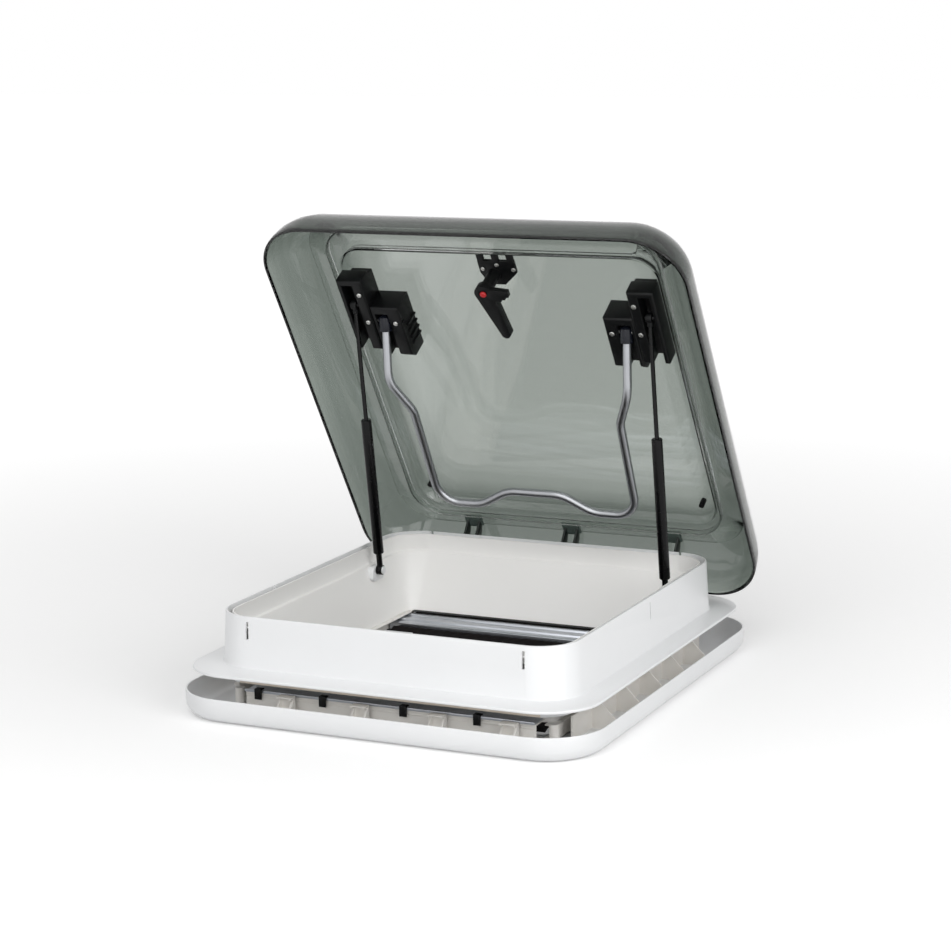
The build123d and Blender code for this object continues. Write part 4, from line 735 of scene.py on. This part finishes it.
carried = [
    ("strut_block_left", "strutBlockLeft", blackNylon, "lid", "black_plastic", 0.8),
    ("strut_block_right", "strutBlockRight", blackNylon, "lid", "black_plastic", 0.8),
    ("bow_block_left", "bowBlockLeft", blackNylon, "lid", "black_plastic", 0.8),
    ("bow_block_right", "bowBlockRight", blackNylon, "lid", "black_plastic", 0.8),
    ("latch_base", "latchBase", blackNylon, "lid", "black_plastic", 0.5),
    ("latch_lever", "latchLever", blackNylon, "lever", "black_plastic", 0.8),
    ("latch_button", "releaseButton", redPlastic, "release_button", "red_plastic", 0.3),
    ("lid_hinge_left", "lidHingeLeft", finPlastic, "lid", "black_plastic", 0.4),
    ("lid_hinge_mid", "lidHingeMid", finPlastic, "lid", "black_plastic", 0.4),
    ("lid_hinge_right", "lidHingeRight", finPlastic, "lid", "black_plastic", 0.4),
    ("pane_pegs", "panePegs", blackNylon, "lid", "black_plastic", 0.6),
    ("bow_cap_left", "bowCapLeft", capPlastic, "bow", "black_plastic", 0.5),
    ("bow_cap_right", "bowCapRight", capPlastic, "bow", "black_plastic", 0.5),
    ("bow_pins", "bowPins", zincSteel, "bow", "zinc_steel", 0.4),
    ("hinge_pins", "hingePins", zincSteel, "frame", "zinc_steel", 0.4),
    ("hinge_bracket_left", "hingeArmLeft", whitePlastic, "frame", "white_plastic", 0.8),
    ("hinge_bracket_mid", "hingeArmMid", whitePlastic, "frame", "white_plastic", 0.8),
    ("hinge_bracket_right", "hingeArmRight", whitePlastic, "frame", "white_plastic", 0.8),
    ("strut_foot_left", "strutFootLeft", whitePlastic, "frame", "white_plastic", 0.4),
    ("strut_foot_right", "strutFootRight", whitePlastic, "frame", "white_plastic", 0.4),
    ("strut_cylinder_left", "strutTubeLeft", blackPaint,
     "strut_cylinder_left_body", "black_painted_steel", 0.2),
    ("strut_cylinder_right", "strutTubeRight", blackPaint,
     "strut_cylinder_right_body", "black_painted_steel", 0.2),
    ("strut_rod_left", "strutRodLeft", blackPaint, "strut_rod_left_body", "black_painted_steel", 0.2),
    ("strut_rod_right", "strutRodRight", blackPaint, "strut_rod_right_body", "black_painted_steel", 0.2),
    ("strut_end_left", "strutEndLeft", blackNylon, "strut_rod_left_body", "black_plastic", 0.4),
    ("strut_end_right", "strutEndRight", blackNylon, "strut_rod_right_body", "black_plastic", 0.4),
    ("latch_striker", "latchStriker", whitePlastic, "frame", "white_plastic", 0.5),
    ("roof_clamps", "roofClamps", whiteInner, "frame", "white_plastic", 0.5),
    ("front_cassette", "frontCassette", whiteInner, "frame", "white_plastic", 0.6),
    ("rear_cassette", "rearCassette", whiteInner, "frame", "white_plastic", 0.6),
    ("guide_rail_left", "guideRailLeft", whiteInner, "frame", "white_plastic", 0.3),
    ("guide_rail_right", "guideRailRight", whiteInner, "frame", "white_plastic", 0.3),
    ("front_clips", "frontClips", blackNylon, "frame", "black_plastic", 0.3),
    ("rear_clips", "rearClips", blackNylon, "frame", "black_plastic", 0.3),
    ("front_rail", "frontRail", railAluminium, "frame", "satin_aluminium", 0.3),
    ("rear_rail", "rearRail", railAluminium, "frame", "satin_aluminium", 0.3),
    ("screen_bar", "screenBar", railAluminium, "screen_bar_slider", "satin_aluminium", 0.5),
    ("blind_bar", "blindBar", railAluminium, "blind_bar_slider", "satin_aluminium", 0.5),
    ("rear_lip_seal", "rearLipSeal", rubberLip, "frame", "black_rubber", 0.3),
]
made = {}
for node, name, material, body, slot, width in carried:
    made[node] = finishPiece(fromNode(node, name, width), material, body, slot, node)

hingeFoot = dict(nodes=("lid_hinge_left", "lid_hinge_mid", "lid_hinge_right"), startsAt=66.5)
for node in hingeFoot["nodes"]:                    # the feet lie on the pane and have its tone
    secondFinish(made[node], footPlastic,
                 lambda face: (intoLid @ face.calc_center_median()).z > hingeFoot["startsAt"] * mm)

cassette = dict(halfX=206.5, face=264.2, groove=0.9, beyond=1,
                lines=((12.0, 12.8), (24.2, 25.0), (27.6, 28.4)))
for side, node in ((-1, "front_cassette"), (1, "rear_cassette")):   # lines along the outer faces
    for low, high in cassette["lines"]:
        near, far = cassette["face"] - cassette["groove"], cassette["face"] + cassette["beyond"]
        cutAway(made[node], block("line", (-cassette["halfX"], side * near, low),
                                  (cassette["halfX"], side * far, high)))
print("carried pieces done")

# Screws: one pan head with a cross recess is modelled for each size and copied to its seats

panHead = dict(sides=28, roundShare=0.55, roundSteps=4, slotLong=0.6, slotThin=0.14, slotFloor=0.4,
               slotAbove=1, slack=0.01, turnEach=0.7, smoothAngle=40)


def crossHead(radius, height):                     # its seat is at z = 0
    head = rod("screwHead", (0, 0, 0), (0, 0, height), radius, panHead["sides"])
    openMesh(head)
    choose("EDGE", lambda edge: min(vert.co.z for vert in edge.verts) > (height - panHead["slack"]) * mm)
    bpy.ops.mesh.bevel(offset=height * panHead["roundShare"] * mm, segments=panHead["roundSteps"])
    closeMesh()
    long, thin = radius * panHead["slotLong"], radius * panHead["slotThin"]
    for reachX, reachY in ((long, thin), (thin, long)):
        cutAway(head, block("recess", (-reachX, -reachY, height * panHead["slotFloor"]),
                            (reachX, reachY, height + panHead["slotAbove"])))
    return head


def screwSet(node, name, radius, height, body, facing):
    head = crossHead(radius, height)
    copies = []
    for number, centre in enumerate(islandCentres(node)):
        out = facing(centre)
        turn = out.to_track_quat("Z", "Y").to_matrix().to_4x4()
        spin = Matrix.Rotation(panHead["turnEach"] * number, 4, "Z")
        copies.append(copyOf(head, Matrix.Translation(centre - out * (height * mm / 2)) @ (turn @ spin)))
    bpy.data.objects.remove(head)
    screws = joined(name, *copies)
    smooth(screws, panHead["smoothAngle"])
    return finishPiece(screws, zincSteel, body, "zinc_steel", node)


lidOut = (lidPlace.to_3x3() @ Vector((0, 0, -1))).normalized()   # from the lid towards the room
screwSet("block_screws", "blockScrews", radius=3.6, height=2.0, body="lid", facing=lambda centre: lidOut)
screwSet("latch_screws", "latchScrews", radius=3.2, height=1.6, body="lid", facing=lambda centre: lidOut)
screwSet("foot_screws", "footScrews", radius=3.6, height=2.0, body="frame",
         facing=lambda centre: Vector((-math.copysign(1, centre.x), 0, 0)))
screwSet("clamp_screws", "clampScrews", radius=3.4, height=2.4, body="frame",
         facing=lambda centre: Vector((0, 0, 1)))
print("screws done")

# Pleated fly screen and blackout blind

flyscreen = dict(halfWidth=205.2, fixedEnd=-234.2, barEnd=170.0, low=12.5, fold=3.4, panels=40,
                 thickness=0.2, folded=4.2)
blackout = dict(halfWidth=205.2, fixedEnd=237.2, barEnd=220.5, low=10.0, fold=8.7, panels=48, thickness=0.1)


def pleatedCloth(name, cloth):                     # a grid whose every second row is lifted into a fold
    near, far = sorted((cloth["fixedEnd"], cloth["barEnd"]))
    pick()
    bpy.ops.mesh.primitive_grid_add(x_subdivisions=4, y_subdivisions=cloth["panels"], size=1)
    obj = bpy.context.object
    obj.name = name
    reach = Matrix.Diagonal((2 * cloth["halfWidth"] * mm, (far - near) * mm, 1, 1))
    place(obj, Matrix.Translation((0, (near + far) / 2 * mm, cloth["low"] * mm)) @ reach)
    places = sorted({round(vert.co.y, 6) for vert in obj.data.vertices})
    rows = {row: number for number, row in enumerate(places)}
    openMesh(obj)
    choose("VERT", lambda vert: rows[round(vert.co.y, 6)] % 2 == 1)
    bpy.ops.transform.translate(value=(0, 0, cloth["fold"] * mm))
    closeMesh()
    thick = obj.modifiers.new("clothThickness", "SOLIDIFY")
    thick.thickness = cloth["thickness"] * mm
    thick.offset = 0
    applyAll(obj)
    panel = math.hypot((far - near) / cloth["panels"], cloth["fold"])
    return obj, (2 * cloth["halfWidth"] * mm, panel * cloth["panels"] * mm)


screen, screenFlat = pleatedCloth("flyScreenCloth", flyscreen)
finishPiece(screen, screenCloth, "frame", "screen_mesh", "fly_screen")
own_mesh(screen)
blind, blindFlat = pleatedCloth("blackoutCloth", blackout)
finishPiece(blind, blindCloth, None, "blackout_fabric", "blackout_blind")   # the blind is given no body
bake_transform(blind)
print("cloths done")

plain = {
    "white_plastic": whitePlastic, "black_plastic": blackNylon, "black_rubber": rubberLip,
    "clear_seal": clearSilicone, "smoked_acrylic": smokedAcrylic, "satin_aluminium": railAluminium,
    "black_painted_steel": blackPaint, "zinc_steel": zincSteel, "red_plastic": redPlastic,
    "screen_mesh": screenCloth, "blackout_fabric": blindCloth,
}
for entry in frame["record"]["subparts"]:          # the hidden CAD nodes get their finish too
    node = frame["nodes"][entry["node"]]
    node.data.materials.clear()
    node.data.materials.append(plain[entry["material_slot"]])
print("finishes set")

# Floor, light and camera

studio = dict(worldStrength=0.42, floorSize=30, floorColours=("#f4f4f4", "#f0f0f0"), floorNoise=60.0,
              liftNear=0.22, liftFar=0.66, liftFrom=0.35, liftTo=2.5,
              cameraAt=(1.43178, -3.03221, 0.94327), cameraTurn=(78.8373, 0.9406, 25.0129), focal=2546.46,
              frameWidth=951.0, sensor=36.0,   # focal length and frame width are in pixels, the sensor in mm
              lamps=(("frontBox", 20.0, 2.2, (0.4, -2.8, 1.3), (0, 0, 0.1)),
                     ("overheadBox", 15.0, 2.0, (0.2, -1.6, 2.4), (0, 0, 0.1)),
                     ("rightBox", 28.0, 1.8, (2.3, -1.2, 1.4), (0, 0, 0.1))))


def seenDirectly(tree):                            # 1 for rays from the camera, glass and gloss
    rays = addNode(tree, "ShaderNodeLightPath")
    first = addNode(tree, "ShaderNodeMath", {"operation": "MAXIMUM"},
                    {0: rays.outputs["Is Camera Ray"], 1: rays.outputs["Is Transmission Ray"]})
    return addNode(tree, "ShaderNodeMath", {"operation": "MAXIMUM"},
                   {0: first.outputs[0], 1: rays.outputs["Is Glossy Ray"]}).outputs[0]


pick()
bpy.ops.mesh.primitive_plane_add(size=studio["floorSize"], location=(0, 0, 0))
floor = bpy.context.object
floor.name = "studioFloor"
floorMaterial, tree, out, where = newMaterial("paleFloorPaint")
speck = addNode(tree, "ShaderNodeTexNoise", {"Scale": studio["floorNoise"], "Detail": 2.0}, {"Vector": where})
tone = colourBetween(tree, *studio["floorColours"], speck.outputs["Fac"])
matt = addNode(tree, "ShaderNodeBsdfDiffuse", {}, {"Color": tone})
away = addNode(tree, "ShaderNodeVectorMath", {"operation": "LENGTH"}, {0: where})
lift = addNode(tree, "ShaderNodeMapRange",         # the floor's glow grows with distance until it is white
               {"From Min": studio["liftFrom"], "From Max": studio["liftTo"], "To Min": studio["liftNear"],
                "To Max": studio["liftFar"]}, {"Value": away.outputs["Value"]})
glow = addNode(tree, "ShaderNodeEmission", {"Color": (1, 1, 1, 1)}, {"Strength": lift.outputs[0]})
both = addNode(tree, "ShaderNodeAddShader", {}, {0: matt.outputs[0], 1: glow.outputs[0]})
seen = addNode(tree, "ShaderNodeMixShader", {},
               {0: seenDirectly(tree), 1: matt.outputs[0], 2: both.outputs[0]})
tree.links.new(seen.outputs[0], out.inputs["Surface"])
floor.data.materials.append(floorMaterial)

world = bpy.data.worlds.new("paleStudio")
bpy.context.scene.world = world
world.use_nodes = True
tree = world.node_tree
tree.nodes.clear()
out = addNode(tree, "ShaderNodeOutputWorld")
dim = addNode(tree, "ShaderNodeBackground", {"Color": (1, 1, 1, 1), "Strength": studio["worldStrength"]})
bright = addNode(tree, "ShaderNodeBackground", {"Color": (1, 1, 1, 1), "Strength": 1.0})
both = addNode(tree, "ShaderNodeMixShader", {},
               {0: seenDirectly(tree), 1: dim.outputs[0], 2: bright.outputs[0]})
tree.links.new(both.outputs[0], out.inputs["Surface"])

for name, power, size, at, aim in studio["lamps"]:
    pick()
    bpy.ops.object.light_add(type="AREA", location=at)
    lamp = bpy.context.object
    lamp.name = name
    lamp.data.energy = power
    lamp.data.size = size
    lamp.rotation_euler = (Vector(aim) - Vector(at)).to_track_quat("-Z", "Y").to_euler()

pick()
cameraTurn = [math.radians(turn) for turn in studio["cameraTurn"]]
bpy.ops.object.camera_add(location=studio["cameraAt"], rotation=cameraTurn)
camera = bpy.context.object
camera.data.sensor_width = studio["sensor"]
camera.data.lens = studio["focal"] / studio["frameWidth"] * studio["sensor"]
bpy.context.scene.camera = camera
bpy.context.scene.view_settings.view_transform = "Standard"
print("studio ready")
